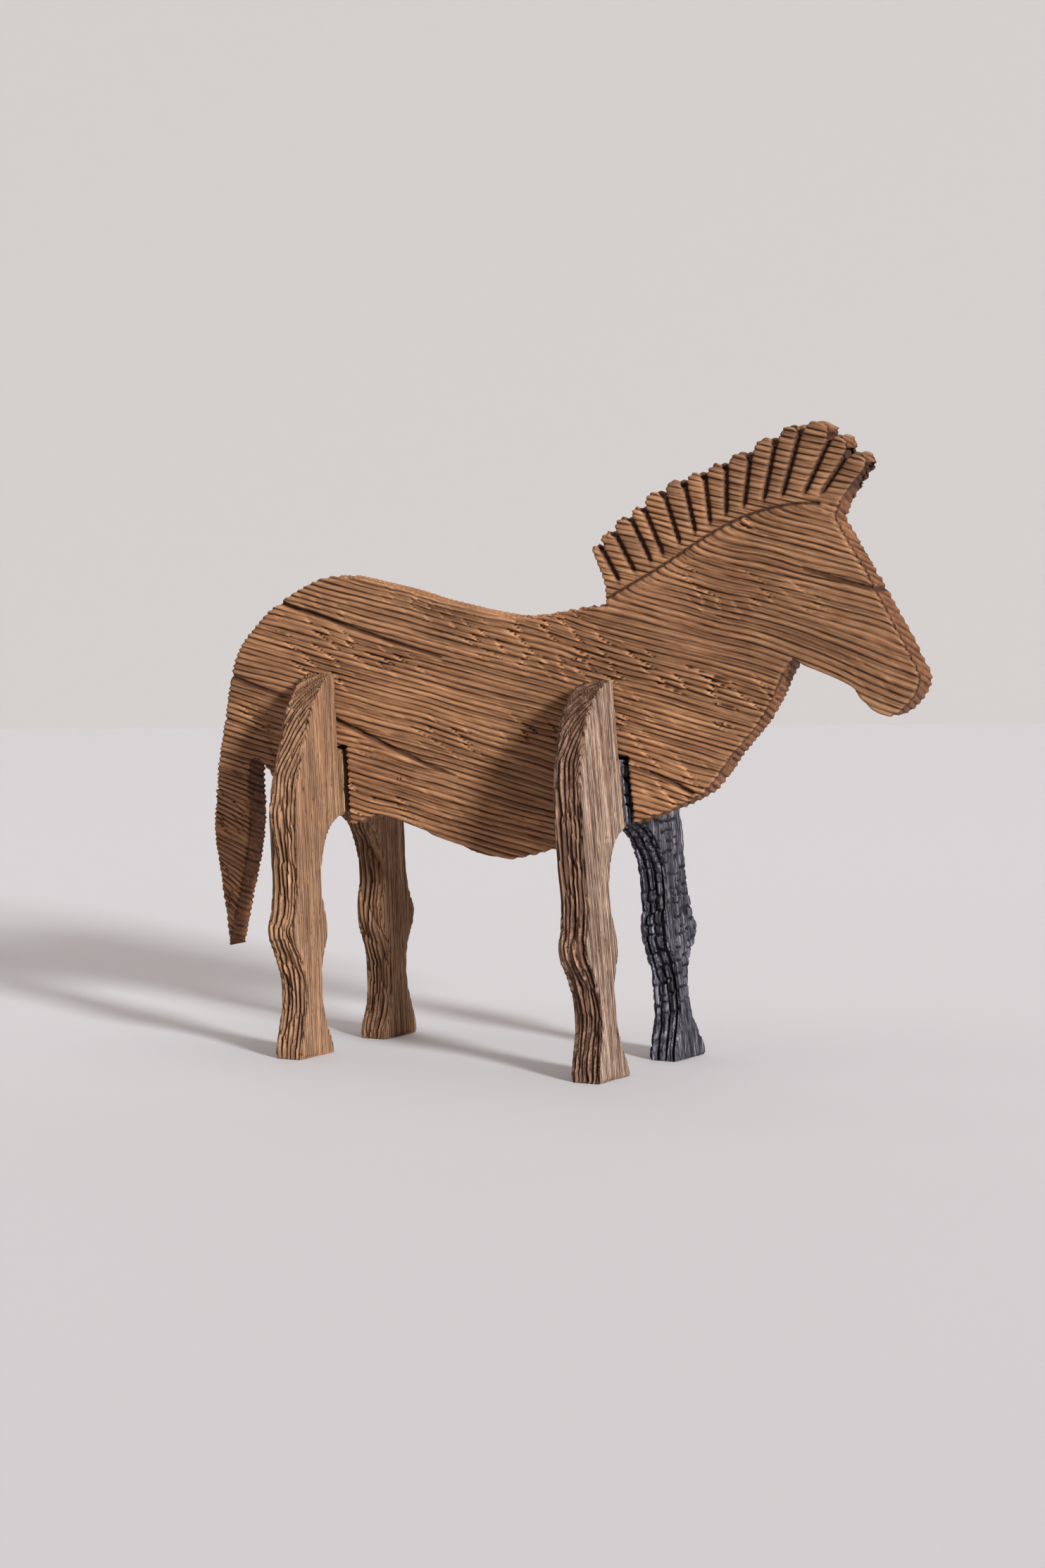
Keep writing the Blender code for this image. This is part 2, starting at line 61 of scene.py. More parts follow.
STANCE_SETBACK = 0.0535  # how far the middle of the four hooves lies behind the middle of the figure
HIND_LEAN = 2.5  # degrees that a board's top leans towards the tail
FRONT_LEAN = 5.3
HIND_SHOULDER = 0.86  # width of the upper part of a horn, against the drawn outline
FRONT_SHOULDER = 1
CHARRED_ANKLE = 0.93  # width of the charred ankle, against the drawn outline
SEAT_GAP = 0.0003  # between the bottom of a notch and the end of a slot
SLOT_CLEARANCE = 0.0008  # between a leg board and its slot, on the tail's side
SLOT_PLAY = 0.0042  # the same on the nose's side, where a gap shows
NOTCH_CLEARANCE = 0.0008  # each side of the body board between the horns
TUFT_RISE = 0.34  # share of a tuft's width
TUFT_TOP = ((0.1, 0.65), (0.5, 1.0), (0.93, 0.6))  # points over a tuft, as shares of its width and rise
GROOVE_SPREAD = 0.85  # below 1, the mane's grooves fan out from the withers

# The body's outline, in percent of LENGTH from the back of the tail and of BODY_HEIGHT from its tip
TAIL_AND_BACK = (
    (2.3, 0.0), (0.9, 12.8), (0.0, 23.5), (0.4, 32.9), (1.4, 41.4), (2.5, 50.3), (3.8, 56.7), (6.1, 61.5),
    (9.5, 66.0), (13.3, 69.3), (17.3, 71.7), (21.4, 71.9), (28.1, 70.1), (34.8, 67.6), (41.3, 65.8),
    (44.7, 65.0), (49.4, 65.5), (54.2, 66.8), (58.0, 67.6),
)
MANE_BACK_EDGE = ((58.0, 67.6), (57.7, 70.3), (56.6, 74.3), (55.7, 76.8))
MANE_CREST = (
    (55.7, 76.8), (57.1, 78.1), (61.4, 82.9), (65.9, 87.4), (71.5, 90.4), (77.7, 93.9), (84.3, 98.6),
    (88.3, 97.5), (90.3, 94.3), (93.0, 91.8),
)
MANE_FRONT_EDGE = ((93.0, 91.8), (91.0, 88.2), (89.4, 85.0), (88.9, 83.0))
FOREHEAD_TO_THROAT = (
    (88.9, 83.0), (90.6, 78.9), (93.5, 72.2), (96.6, 64.4), (99.1, 58.0), (100.0, 54.8), (99.1, 51.6),
    (97.3, 48.9), (95.1, 48.1), (92.9, 50.2), (90.8, 53.2), (88.3, 54.8), (85.9, 56.1), (83.4, 57.8),
)
CHEST_TO_TAIL = (
    (83.4, 57.8), (82.0, 54.8), (80.7, 50.5), (78.6, 45.7), (75.5, 40.6), (71.7, 33.7), (68.1, 30.7),
    (63.6, 28.1), (58.4, 25.4), (53.0, 23.0), (48.1, 20.9), (44.0, 19.5), (39.8, 20.3), (33.9, 23.0),
    (28.3, 25.7), (25.0, 26.5), (21.6, 24.9), (16.9, 24.9), (13.3, 27.0), (10.1, 31.0), (8.0, 35.0),
    (6.4, 36.6), (5.7, 33.6), (5.8, 24.9), (5.2, 18.2), (4.3, 12.0), (3.1, 4.5), (2.3, 0.0),
)
# The line under the mane, from the outline on. The part's source leaves out its first point.
MANE_LINE = ((57.6, 67.8), (58.6, 68.6), (66.5, 74.9), (71.5, 79.4), (76.9, 83.2), (82.7, 85.3), (88.2, 85.6))
TUFT_WIDTHS = (9, 14, 16, 12, 18, 17, 16, 17, 19, 21, 20, 23, 17, 17)  # against each other, along the crest

# A leg's edges, in percent of half STANCE_WIDTH from the middle and of the height of each edge
LEG_OUTER_EDGE = (
    (100, -3), (100, 0), (99, 3), (92, 9), (87, 14), (87, 20), (94, 26), (102, 30), (104, 34), (98, 38.5),
    (93.5, 45), (94, 54), (92.5, 65), (88.5, 74.5), (80, 83), (66, 91), (47, 96.5), (28, 99.3),
)
LEG_INNER_EDGE = (
    (44, -5), (44, 0), (46, 6), (52, 12), (57, 20), (58.5, 29), (58, 36), (53, 43), (48, 48), (46, 55),
    (48, 62), (52, 69), (52, 76.5), (48, 84), (42, 90), (32, 95.5), (17, 99), (0, 100),
)
SHOULDER = (65, 87)  # where a horn narrows, from and to, in percent of the outer edge's height
ANKLE = (8, 28)  # from and to, in the same percent

# Splits along the grain, in the percentages of the body's outline, each from its wide end
CRACKS = (
    ((9.8, 67.3), (12.7, 65.9), (17.1, 64.2), (21.9, 62.0), (27.8, 59.6), (34.5, 57.0)),
    ((1.9, 53.1), (4.9, 51.6), (11.4, 48.6)),
    ((17.5, 45.4), (21.4, 43.3), (26.5, 40.2), (32.9, 36.6), (36.5, 35.0)),
    ((69.8, 33.6), (67.8, 34.9), (65.4, 36.3), (61.6, 37.7)),
    ((95.2, 70.5), (91.7, 71.4), (88.5, 72.6), (84.8, 74.2)),
)
CRACK_DEPTHS = (0.0052, 0.0036, 0.0044, 0.0042, 0.0034)  # at the wide ends
LEDGE_WIDTHS = (0.0070, 0.0040, 0.0072, 0.0050, 0.0036)  # below the splits, at the wide ends

# Parts of the body board
BACK_LEVEL = 0.28  # the back is above this
BACK_END = 0.045  # and behind this
MANE_START = (0.028, 0.318)  # the mane is in front of and above this

# Grain
BODY_GRAIN = -12.0  # degrees from level towards the nose
BODY_PITCH = 0.0041  # from one growth ring to the next
BODY_GROOVE = 0.00135  # how deep the soft wood between two rings is worn
BODY_FLAKE = 0.032  # length of a flake
BODY_FLAKE_DEPTH = 0.0023
BODY_DEEPEST = 0.0062  # no relief goes deeper
LEG_PITCH = 0.0024
LEG_DEEPEST = 0.0052
BAR_PITCH = 0.0034  # from one long bar on a leg's edge to the next
CLIMB = 0.9  # how steeply the bars turn towards the horn
CHAR_START = -0.013  # the fire reached from here to the far leg
CELL_HEIGHT = 0.0092  # of a cell of char
DENTS = ((-0.0605, 0.1875, 0.0013), (-0.048, 0.180, 0.0009))  # across, height and size

# Seeds of the relief
BODY_SEED = 31
FLAKE_SEED = BODY_SEED + 3  # as in ring_relief
ROUGH_SEED = 37
HIND_SEED = 200
FRONT_SEED = 300

# Mesh
DENSE_STEP = 0.0003  # between the points by which an outline is searched
BODY_RIM_ROWS = 9  # rows of faces across the body board's rim
LEG_RIM_ROWS = 42

# Setting and camera
FLOOR_REACH = 30.0
WALL_DISTANCE = 3.6
WALL_HEIGHT = 4.0
AWAY = (-0.4903, 0.8716, 0)  # level, from the camera's side to the wall
CAMERA_PLACE = (1.3191, -2.3932, 0.4104)
CAMERA_TURN, CAMERA_PITCH, CAMERA_ROLL = 29.36, 4.54, -0.28  # degrees
FOCAL_LENGTH = 5633  # in the photo's pixels
PHOTO_HEIGHT = 2226
SENSOR = 36


def hashed(cell, seed):
    """A fixed random number from 0 to 1 for each whole point of an (n, 3) array."""
    n = cell[:, 0] * 374761393 + cell[:, 1] * 668265263 + cell[:, 2] * 1440662683 + seed * 974634777
    n = (n ^ (n >> 13)) & 0xFFFFFFFF
    n = (n * 1274126177) & 0xFFFFFFFF
    n = n ^ (n >> 16)
    return (n & 0xFFFFFF) / 0xFFFFFF


def noise(x, y=0.0, z=0.0, seed=0):
    """Smooth noise from -1 to 1."""
    x, y, z = np.broadcast_arrays(np.asarray(x, float), y, z)
    points = np.stack([x.ravel(), y.ravel(), z.ravel()], 1)
    cell = np.floor(points).astype(np.int64)
    part = points - cell
    part = part * part * part * (part * (part * 6 - 15) + 10)
    total = np.zeros(len(points))
    for corner in np.ndindex(2, 2, 2):
        weight = np.prod(np.where(np.array(corner) == 1, part, 1 - part), axis=1)
        total += weight * hashed(cell + np.array(corner), seed)
    return (total * 2 - 1).reshape(x.shape)


def bell(value, width):
    return np.exp(-(value / width) ** 2)


def grooves(phase, sharp):
    """1 along each groove, at the whole phases, and 0 halfway between two."""
    return (1 - 2 * np.abs(phase - np.round(phase))) ** sharp


def smooth_run(points, steps=12):
    """A smooth run through points of a drawing."""
    knots = [Vector(point) for point in points]
    last = len(knots) - 1
    run = []
    for i in range(last):
        start, end = knots[i], knots[i + 1]
        reach = (end - start).length / 3
        leave = (end - knots[max(i - 1, 0)]).normalized() * reach
        arrive = (knots[min(i + 2, last)] - start).normalized() * reach
        run += interpolate_bezier(start, start + leave, end - arrive, end, steps + 1)[:-1]
    run.append(knots[last])
    return np.array([(point[0], point[1]) for point in run])


def run_lengths(run, closed=False):
    """The distance along a run of each of its points, and its whole length when closed."""
    steps = np.linalg.norm(np.diff(run, axis=0, append=run[:1] if closed else run[-1:]), axis=1)
    return np.concatenate([[0.0], np.cumsum(steps if closed else steps[:-1])])


def resample(run, at, closed=False):
    """Points of a run at given distances along it."""
    lengths = run_lengths(run, closed)
    whole = np.vstack([run, run[:1]]) if closed else run
    return np.stack([np.interp(at, lengths, whole[:, i]) for i in range(2)], 1)


def evenly(run, spacing, closed=False):
    total = run_lengths(run, closed)[-1]
    count = max(1, round(total / spacing))
    places = np.linspace(0, total, count if closed else count + 1, endpoint=not closed)
    return resample(run, places, closed)


def outward(run):
    """The outward normals at the points of a clockwise closed run."""
    way = np.roll(run, -1, axis=0) - np.roll(run, 1, axis=0)
    way /= np.linalg.norm(way, axis=1)[:, None]
    return np.stack([-way[:, 1], way[:, 0]], 1)


def body_scale(percents):
    """Points of the body's drawing, in metres along X and Z."""
    seat = SEAT_HEIGHT - SLOT_LEVEL / 100 * BODY_HEIGHT
    return [(x / 100 * LENGTH - LENGTH / 2, z / 100 * BODY_HEIGHT + seat) for x, z in percents]


def body_run(percents):
    """A piece of the outline without its last point, where the next piece starts."""
    return smooth_run(body_scale(percents))[:-1]


def mane_notches():
    """The notches between the tufts, along the crest."""
    crest = smooth_run(body_scale(MANE_CREST))
    total = run_lengths(crest)[-1]
    shares = np.concatenate([[0], np.cumsum(TUFT_WIDTHS)]) / sum(TUFT_WIDTHS)
    return resample(crest, shares * total)


def mane_grooves():
    """The lines between the tufts, each from its foot on the mane line to its notch in the crest."""
    notches = mane_notches()
    line = smooth_run(body_scale(MANE_LINE[1:]))
    crest = run_lengths(notches)
    shares = crest / crest[-1]
    feet = resample(line, run_lengths(line)[-1] * shares ** GROOVE_SPREAD)
    feet[0] = body_scale(MANE_BACK_EDGE)[0]
    feet[-1] = body_scale(MANE_FRONT_EDGE)[-1]
    return list(zip(feet, notches))


def body_outline():
    """The body board's clockwise outline, with both slots."""
    notches = mane_notches()
    tops = []
    for start, end in zip(notches, notches[1:]):
        across = end - start
        out = np.array((-across[1], across[0])) * TUFT_RISE
        top = [start + across * forward + out * rise for forward, rise in TUFT_TOP]
        tops.append(smooth_run((start, *top))[:-1])
    runs = [body_run(TAIL_AND_BACK), body_run(MANE_BACK_EDGE), *tops]
    runs += [body_run(part) for part in (MANE_FRONT_EDGE, FOREHEAD_TO_THROAT, CHEST_TO_TAIL)]
    outline = np.vstack(runs)
    for offset, lean in ((LEG_SPACING / 2, FRONT_LEAN), (-LEG_SPACING / 2, HIND_LEAN)):
        outline = with_slot(outline, offset - STANCE_SETBACK, math.radians(lean))
    return outline


def with_slot(outline, foot, lean):
    """Cuts a leg board's slot up into a clockwise outline."""
    turn = np.array(((math.cos(lean), math.sin(lean)), (-math.sin(lean), math.cos(lean))))
    local = (outline - (foot, 0)) @ turn.T
    low, high = -LEG_THICKNESS / 2 - SLOT_CLEARANCE, LEG_THICKNESS / 2 + SLOT_PLAY
    top = SEAT_HEIGHT + SEAT_GAP
    inside = (local[:, 0] > low) & (local[:, 0] < high) & (local[:, 1] < top)
    first = int(np.nonzero(inside & ~np.roll(inside, 1))[0][0])
    count = int(inside.sum())
    before = local[first - 1]
    after = local[(first + count) % len(local)]
    enter = before + (local[first] - before) * (high - before[0]) / (local[first][0] - before[0])
    last = local[first + count - 1]
    leave = last + (after - last) * (low - last[0]) / (after[0] - last[0])
    slot = np.array([enter, (high, top), (low, top), leave])
    whole = np.vstack([local[:first], slot, local[first + count:]])
    return whole @ turn + (foot, 0)


def leg_outer_edge(shoulder, ankle):
    """A leg's outer edge from the hoof to the notch, in distance from the middle and height."""
    edge = []
    for width, height in LEG_OUTER_EDGE:
        rise = (height - SHOULDER[0]) / (SHOULDER[1] - SHOULDER[0])
        narrow = 1 - (1 - shoulder) * min(1, max(0, rise))
        if ANKLE[0] < height < ANKLE[1]:
            narrow *= ankle
        edge.append((width / 200 * STANCE_WIDTH * narrow, height / 100 * HORN_TOP))
    edge.append((BODY_THICKNESS / 2 + NOTCH_CLEARANCE, HORN_TOP))
    return smooth_run(edge)


def cut_level(run):
    """The part of a leg's edge above the ground, from the ground up."""
    above = run[:, 1] > 0
    first = int(np.argmax(above))
    low, high = run[first - 1], run[first]
    foot = low + (high - low) * -low[1] / (high[1] - low[1])
    return np.vstack([foot, run[first:]])


def leg_outline(shoulder, far_ankle):
    """A clockwise outline in Y and height, the far side at positive Y."""
    arch = SEAT_HEIGHT - BRIDGE_DEPTH
    inner = [(width / 200 * STANCE_WIDTH, height / 100 * arch) for width, height in LEG_INNER_EDGE]
    inner = cut_level(smooth_run(inner))
    far = cut_level(leg_outer_edge(shoulder, far_ankle))
    near = cut_level(leg_outer_edge(shoulder, 1))
    mirror = np.array((-1, 1))
    half = far[-1][0]
    seat = np.array(((half, SEAT_HEIGHT), (-half, SEAT_HEIGHT)))
    # Up the near leg's outer edge, over the seat, down the far one, and back through the arch
    return np.vstack([near * mirror, seat[::-1], far[::-1], inner[:-1], inner[::-1] * mirror])


def stations(outline, spacing_of, corner=35):
    """Points along a closed outline, spaced by spacing_of, that keep its corners."""
    outline = outline[np.linalg.norm(outline - np.roll(outline, 1, axis=0), axis=1) > 1e-6]
    before = outline - np.roll(outline, 1, axis=0)
    after = np.roll(before, -1, axis=0)
    cross = before[:, 0] * after[:, 1] - before[:, 1] * after[:, 0]
    turn = np.degrees(np.arctan2(cross, (before * after).sum(1)))
    corners = np.nonzero(np.abs(turn) > corner)[0]
    lengths = run_lengths(outline, True)
    total = lengths[-1]
    places = np.linspace(0, total, round(total / DENSE_STEP) + 1)
    dense = resample(outline, places % total, True)
    way = np.diff(dense, axis=0)
    way /= np.linalg.norm(way, axis=1)[:, None]
    counts = np.concatenate([[0], np.cumsum(np.diff(places) / spacing_of(dense[:-1], way))])
    places = np.append(places, places[1:] + total)
    counts = np.append(counts, counts[1:] + counts[-1])
    stops = np.interp(np.append(lengths[corners], lengths[corners[0]] + total), places, counts)
    at = [
        np.linspace(low, high, max(1, round(high - low)), endpoint=False)
        for low, high in zip(stops, stops[1:])
    ]
    return resample(outline, np.interp(np.concatenate(at), counts, places) % total, True)


def tree_of(points):
    """Points of a drawing, ready to be searched."""
    tree = KDTree(len(points))
    for i, point in enumerate(points):
        tree.insert((point[0], point[1], 0), i)
    tree.balance()
    return tree


def nearest(tree, points):
    """For each point, the number of the nearest one in the tree and its distance."""
    found = [tree.find((x, y, 0)) for x, y in points.tolist()]
    return np.array([hit[1] for hit in found]), np.array([hit[2] for hit in found])


def to_line(points, line):
    """Distance from points to a polyline, the side they are on, and the distance along it."""
    best = np.full(len(points), 1e9)
    side = np.zeros(len(points))
    place = np.zeros(len(points))
    run = 0.0
    for start, end in zip(line, line[1:]):
        step = end - start
        length = math.hypot(*step)
        share = np.clip(((points - start) @ step) / length ** 2, 0, 1)
        away = points - (start + share[:, None] * step)
        distance = np.hypot(away[:, 0], away[:, 1])
        nearer = distance < best
        best = np.where(nearer, distance, best)
        side = np.where(nearer, np.sign(step[0] * away[:, 1] - step[1] * away[:, 0]), side)
        place = np.where(nearer, run + share * length, place)
        run += length
    return best, side, place


def ease(value, low, high):
    """0 below low, 1 above high and smooth between."""
    share = np.clip((value - low) / (high - low), 0, 1)
    return share * share * (3 - 2 * share)


class Board:
    """A board drawn in two directions, with its grain's angle, its ring pitch and the warp of its rings."""

    def __init__(self, outline, thickness, grain, pitch, warp, spacing_of):
        self.thickness, self.pitch, self.warp = thickness, pitch, warp
        self.along = np.array((math.cos(grain), math.sin(grain)))
        self.across = np.array((-math.sin(grain), math.cos(grain)))
        self.edge = stations(outline, spacing_of)
        self.out = outward(self.edge)
        self.dense = evenly(self.edge, DENSE_STEP, True)
        self.tree = tree_of(self.dense)
        self.dense_out = outward(self.dense)

    def ring_place(self, points, depth):
        """Points of the drawing as distances along the grain and across the rings."""
        s, t = points @ self.along, points @ self.across
        return np.stack([s, t + self.warp(s, t, depth)], 1)

    def drawn_place(self, rings, depth):
        """The inverse of ring_place."""
        s, level = rings[:, 0], rings[:, 1]
        t = level.copy()
        for _ in range(14):
            t = t + 0.8 * (level - t - self.warp(s, t, depth))
        return s[:, None] * self.along + t[:, None] * self.across


def face_mesh(board, depth, fractions, step, fine, lines=()):
    """A triangulated face in rows along the grain: its drawn points, outline first, and its triangles."""
    edge = board.ring_place(board.edge, depth)
    given = [board.edge]
    given_edges = []
    count = len(board.edge)
    for line in lines:
        given.append(line)
        given_edges += [(count + i, count + i + 1) for i in range(len(line) - 1)]
        count += len(line)
    given = np.vstack(given)
    given_rings = board.ring_place(given, depth)

    start, end = edge, np.roll(edge, -1, axis=0)
    levels = [
        (k + fraction) * board.pitch
        for k in range(math.floor(edge[:, 1].min() / board.pitch), math.ceil(edge[:, 1].max() / board.pitch))
        for fraction in fractions
    ]
    rows = []
    for row, level in enumerate(levels):
        crossed = (start[:, 1] > level) != (end[:, 1] > level)
        low, high = start[crossed], end[crossed]
        hits = np.sort(low[:, 0] + (level - low[:, 1]) / (high[:, 1] - low[:, 1]) * (high[:, 0] - low[:, 0]))
        for left, right in zip(hits[::2], hits[1::2]):
            first = math.ceil(left / step)
            places = (np.arange(first, math.floor(right / step) + 1) + (row % 2) * 0.5) * step
            places = places[(places > left) & (places < right)]
            parity = (np.round(places / step - (row % 2) * 0.5).astype(int) + row // 2) % 2
            rows.append(np.stack([places, np.full(len(places), level), parity], 1))
    rows = np.vstack(rows)
    drawn = board.drawn_place(rows[:, :2], depth)
    keep = (rows[:, 2] == 0) | fine(drawn, rows)
    rows, drawn = rows[keep, :2], drawn[keep]
    gap = board.pitch / len(fractions)
    _, clear = nearest(tree_of(given), drawn)
    rows, drawn = rows[clear > 0.6 * gap], drawn[clear > 0.6 * gap]

    rings = np.vstack([given_rings, rows])
    drawn = np.vstack([given, drawn])
    squeeze = gap / (1.7 * step)
    flat = [Vector((s * squeeze, level)) for s, level in rings.tolist()]
    loop = list(range(len(board.edge)))[::-1]
    area = np.sum(edge[:, 0] * np.roll(edge[:, 1], -1) - np.roll(edge[:, 0], -1) * edge[:, 1])
    if area > 0:
        loop.reverse()
    corners, _, faces, sources, _, within = delaunay_2d_cdt(flat, given_edges, [loop], 0, 1e-8, True)
    source = np.array([found[0] if found else -1 for found in sources])
    points = np.zeros((len(corners), 2))
    known = source >= 0
    points[known] = drawn[source[known]]
    if not known.all():
        made = np.array([(corner[0] / squeeze, corner[1]) for corner in corners])[~known]
        points[~known] = board.drawn_place(made, depth)
    faces = np.array([face[:] for face, inner in zip(faces, within) if inner])
    used = np.zeros(len(points), bool)
    used[faces.ravel()] = True
    place_of = {int(source[i]): i for i in np.nonzero(known)[0]}
    first = [place_of[i] for i in range(len(board.edge))]
    used[first] = False
    order = np.concatenate([first, np.nonzero(used)[0]])
    renumber = np.full(len(points), -1)
    renumber[order] = np.arange(len(order))
    return points[order], renumber[faces]


def rounded(points, board, radius_of, side):
    """Face points with the corners worn round, their outward normals and distances from the outline."""
    where, distance = nearest(board.tree, points)
    out = board.dense_out[where]
    radius = radius_of(board.dense[where], out, side)
    sine = np.clip((radius - distance) / radius, 0, 1)
    cosine = np.sqrt(1 - sine ** 2)
    depth = side * (board.thickness / 2 - radius + radius * cosine)
    normal = np.column_stack([out * sine[:, None], side * cosine])
    return np.column_stack([points, depth]), normal, distance


def board_mesh(board, radius_of, near, far, rim_rows):
    """Points, normals, triangles and quads of a whole board, and the points' distances from the outline."""
    count = len(board.edge)
    all_points, all_normals, insets, faces, firsts = [], [], [], [], []
    base = 0
    for side, (points, triangles) in ((-1, near), (1, far)):
        placed, normal, inset = rounded(points, board, radius_of, side)
        edge_radius = radius_of(board.edge, board.out, side)
        placed[:count, 2] = side * (board.thickness / 2 - edge_radius)
        normal[:count] = np.column_stack([board.out * 0.96, np.full(count, side * 0.28)])
        inset[:count] = 0
        a, b, c = (points[triangles[:, i]] for i in range(3))
        turn = (b[:, 0] - a[:, 0]) * (c[:, 1] - a[:, 1]) - (b[:, 1] - a[:, 1]) * (c[:, 0] - a[:, 0])
        triangles = np.where((turn * side > 0)[:, None], triangles, triangles[:, ::-1])
        all_points.append(placed)
        all_normals.append(normal)
        insets.append(inset)
        faces.append(triangles + base)
        firsts.append(base)
        base += len(points)
    rows = [np.arange(count) + firsts[0]]
    low = all_points[0][:count, 2]
    high = all_points[1][:count, 2]
    for row in range(1, rim_rows):
        share = row / rim_rows
        all_points.append(np.column_stack([board.edge, low + (high - low) * share]))
        all_normals.append(np.column_stack([board.out, np.zeros(count)]))
        insets.append(np.zeros(count))
        rows.append(np.arange(count) + base)
        base += count
    rows.append(np.arange(count) + firsts[1])
    quads = [
        np.stack([lower, np.roll(lower, -1), np.roll(upper, -1), upper], 1)
        for lower, upper in zip(rows, rows[1:])
    ]
    stacks = [np.vstack(stack) for stack in (all_points, all_normals, faces, quads)]
    return *stacks, np.concatenate(insets)


def make_object(name, node, coords, triangles, quads, attributes, look):
    """The dressed piece of a board, kept inside its node's box."""
    low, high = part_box(node)
    coords = np.clip(coords, np.array(low), np.array(high))
    mesh = bpy.data.meshes.new(name)
    mesh.from_pydata(coords.tolist(), [], triangles.tolist() + quads.tolist())
    for label, values in attributes.items():
        kind, field = ("FLOAT", "value") if values.ndim == 1 else ("FLOAT_VECTOR", "vector")
        attribute = mesh.attributes.new(label, kind, "POINT")
        attribute.data.foreach_set(field, values.astype(np.float32).ravel())
    mesh.materials.append(look)
    mesh.polygons.foreach_set("use_smooth", np.ones(len(mesh.polygons), bool))
    mesh.update()
    made = bpy.data.objects.new(name, mesh)
    bpy.context.scene.collection.objects.link(made)
    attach(made, "root")
    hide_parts(node)
    print(name, len(triangles) + 2 * len(quads), "triangles")


def flakes(phase, s, depth, length, seed):
    """How far along its flake each point lies: 0 where it starts thin, 1 at its lip."""
    bar = np.floor(phase)
    tile = s / length + 1.9 * noise(bar * 0.43, s / 0.11, depth / 0.03, seed=seed) + 0.30 * bar
    tile += 0.35 * noise(s / 0.03, bar * 1.7, seed=seed + 1) + 0.30 * (phase - bar) + depth / 0.016
    return tile - np.floor(tile)


def ring_relief(phase, s, depth, seed, groove_depth, flake_depth, rough, length, sharp=2.5, uneven=0.45):
    """How deep the grain is worn, the painted shade in its grooves and cracks, and how near a point is to a
    flake's lip, where a highlight is painted.
    """
    groove = np.round(phase)
    bar = np.floor(phase)
    amplitude = 0.92 + uneven * noise(s / 0.045, groove * 7.31, depth / 0.02, seed=seed)
    amplitude += 0.32 * noise(s / 0.011, groove * 3.17, depth / 0.008, seed=seed + 1)
    down = grooves(phase, sharp) * np.clip(amplitude, 0.2, 1.5)
    second = bell(phase - bar - 0.60, 0.09)
    second *= np.clip(0.25 + 1.6 * noise(s / 0.07, bar * 5.3, depth / 0.02, seed=seed + 2), 0, 1)
    along = flakes(phase, s, depth, length, seed + 3)
    worn = (1 - along) ** 1.6 * rough
    crack = bell(along * length, 0.0013) * rough
    # Where a flake's lip lies, for a painted highlight
    lip_highlight = ease(along, 0.80, 0.97) * rough
    sunk = groove_depth * (down + 0.5 * second + 0.6 * crack) + flake_depth * worn
    # Painted shade: dark in the grooves, the second lines and the cracks
    dark = np.maximum(np.maximum(down, 0.62 * second), 1.25 * crack)
    return sunk, dark, lip_highlight


# Body board

def body_warp(s, t, depth):
    """How the rings wave, bend at the neck, jaw and tail, and slope through the board."""
    warp = 0.0016 * noise(s / 0.085, t / 0.030, 3.3, seed=11)
    warp += 0.0008 * noise(s / 0.030, t / 0.014, 1.1, seed=12)
    bend = 0.010 * np.exp(-(((s - 0.185) / 0.050) ** 2) - ((t - 0.300) / 0.035) ** 2)
    jaw = 0.012 * np.clip((s - 0.150) / 0.09, 0, 1) ** 2
    tail = 0.42 * (s + 0.25) * np.clip((0.135 - t) / 0.08, 0, 1) * np.clip((-0.19 - s) / 0.02, 0, 1)
    return warp + bend + jaw + tail + 0.30 * depth


def body_rough(s, level, seed):
    """How flaky the body's face is: most along a band from the hip to the withers."""
    band = bell(level - 0.278, 0.014) * ease(s, -0.20, -0.12)
    patches = 0.30 + 0.9 * noise(s / 0.06, level / 0.022, seed=seed)
    return np.clip(patches * (1 - 0.5 * ease(s, 0.05, 0.12)) + 0.9 * band, 0, 1)


def mane_relief(points):
    """Where points lie across their tuft, how far from its grooves and above the mane line, and the tuft."""
    lines = mane_grooves()
    feet = np.array([foot for foot, _ in lines])
    tops = np.array([top for _, top in lines])
    step = tops - feet
    normal = np.stack([step[:, 1], -step[:, 0]], 1) / np.linalg.norm(step, axis=1)[:, None]
    beyond = np.stack([(points - feet[i]) @ normal[i] for i in range(len(lines))], 1)
    tuft = np.clip((beyond > 0).sum(1) - 1, 0, len(lines) - 2)
    rows = np.arange(len(points))
    left = np.maximum(beyond[rows, tuft], 0)
    right = np.maximum(-beyond[rows, tuft + 1], 0)
    across = left / np.maximum(left + right, 1e-6)
    distance, side, _ = to_line(points, smooth_run(body_scale(MANE_LINE)))
    return across, np.minimum(left, right), np.where(side > 0, distance, 0), tuft


def body_radius(points, out, side):
    """The corners are worn most along the back and at the tuft ends."""
    x, z = points[:, 0], points[:, 1]
    base = 0.0022 + 0.0009 * noise(x / 0.02, z / 0.02, side * 4.0, seed=21)
    back = 0.0040 * ease(out[:, 1], 0.6, 0.95) * ease(x, -0.20, -0.14) * ((x < BACK_END) & (z > BACK_LEVEL))
    mane = 0.0014 * ((z > 0.335) & (out[:, 1] > 0.2) & (x > 0.02) & (x < 0.24))
    return np.clip(base + back + mane, 0.0012, 0.0070)


def body_spacing(points, way):
    """The outline's points are nearer each other on the back, and wherever it doesn't follow the grain."""
    grain = math.radians(BODY_GRAIN)
    along = np.abs(way @ np.array((math.cos(grain), math.sin(grain))))
    back = (points[:, 1] > 0.29) & (points[:, 0] < BACK_END)
    return 0.00100 + np.where(back, 0.00008, 0.00060) * ease(along, 0.80, 0.97)


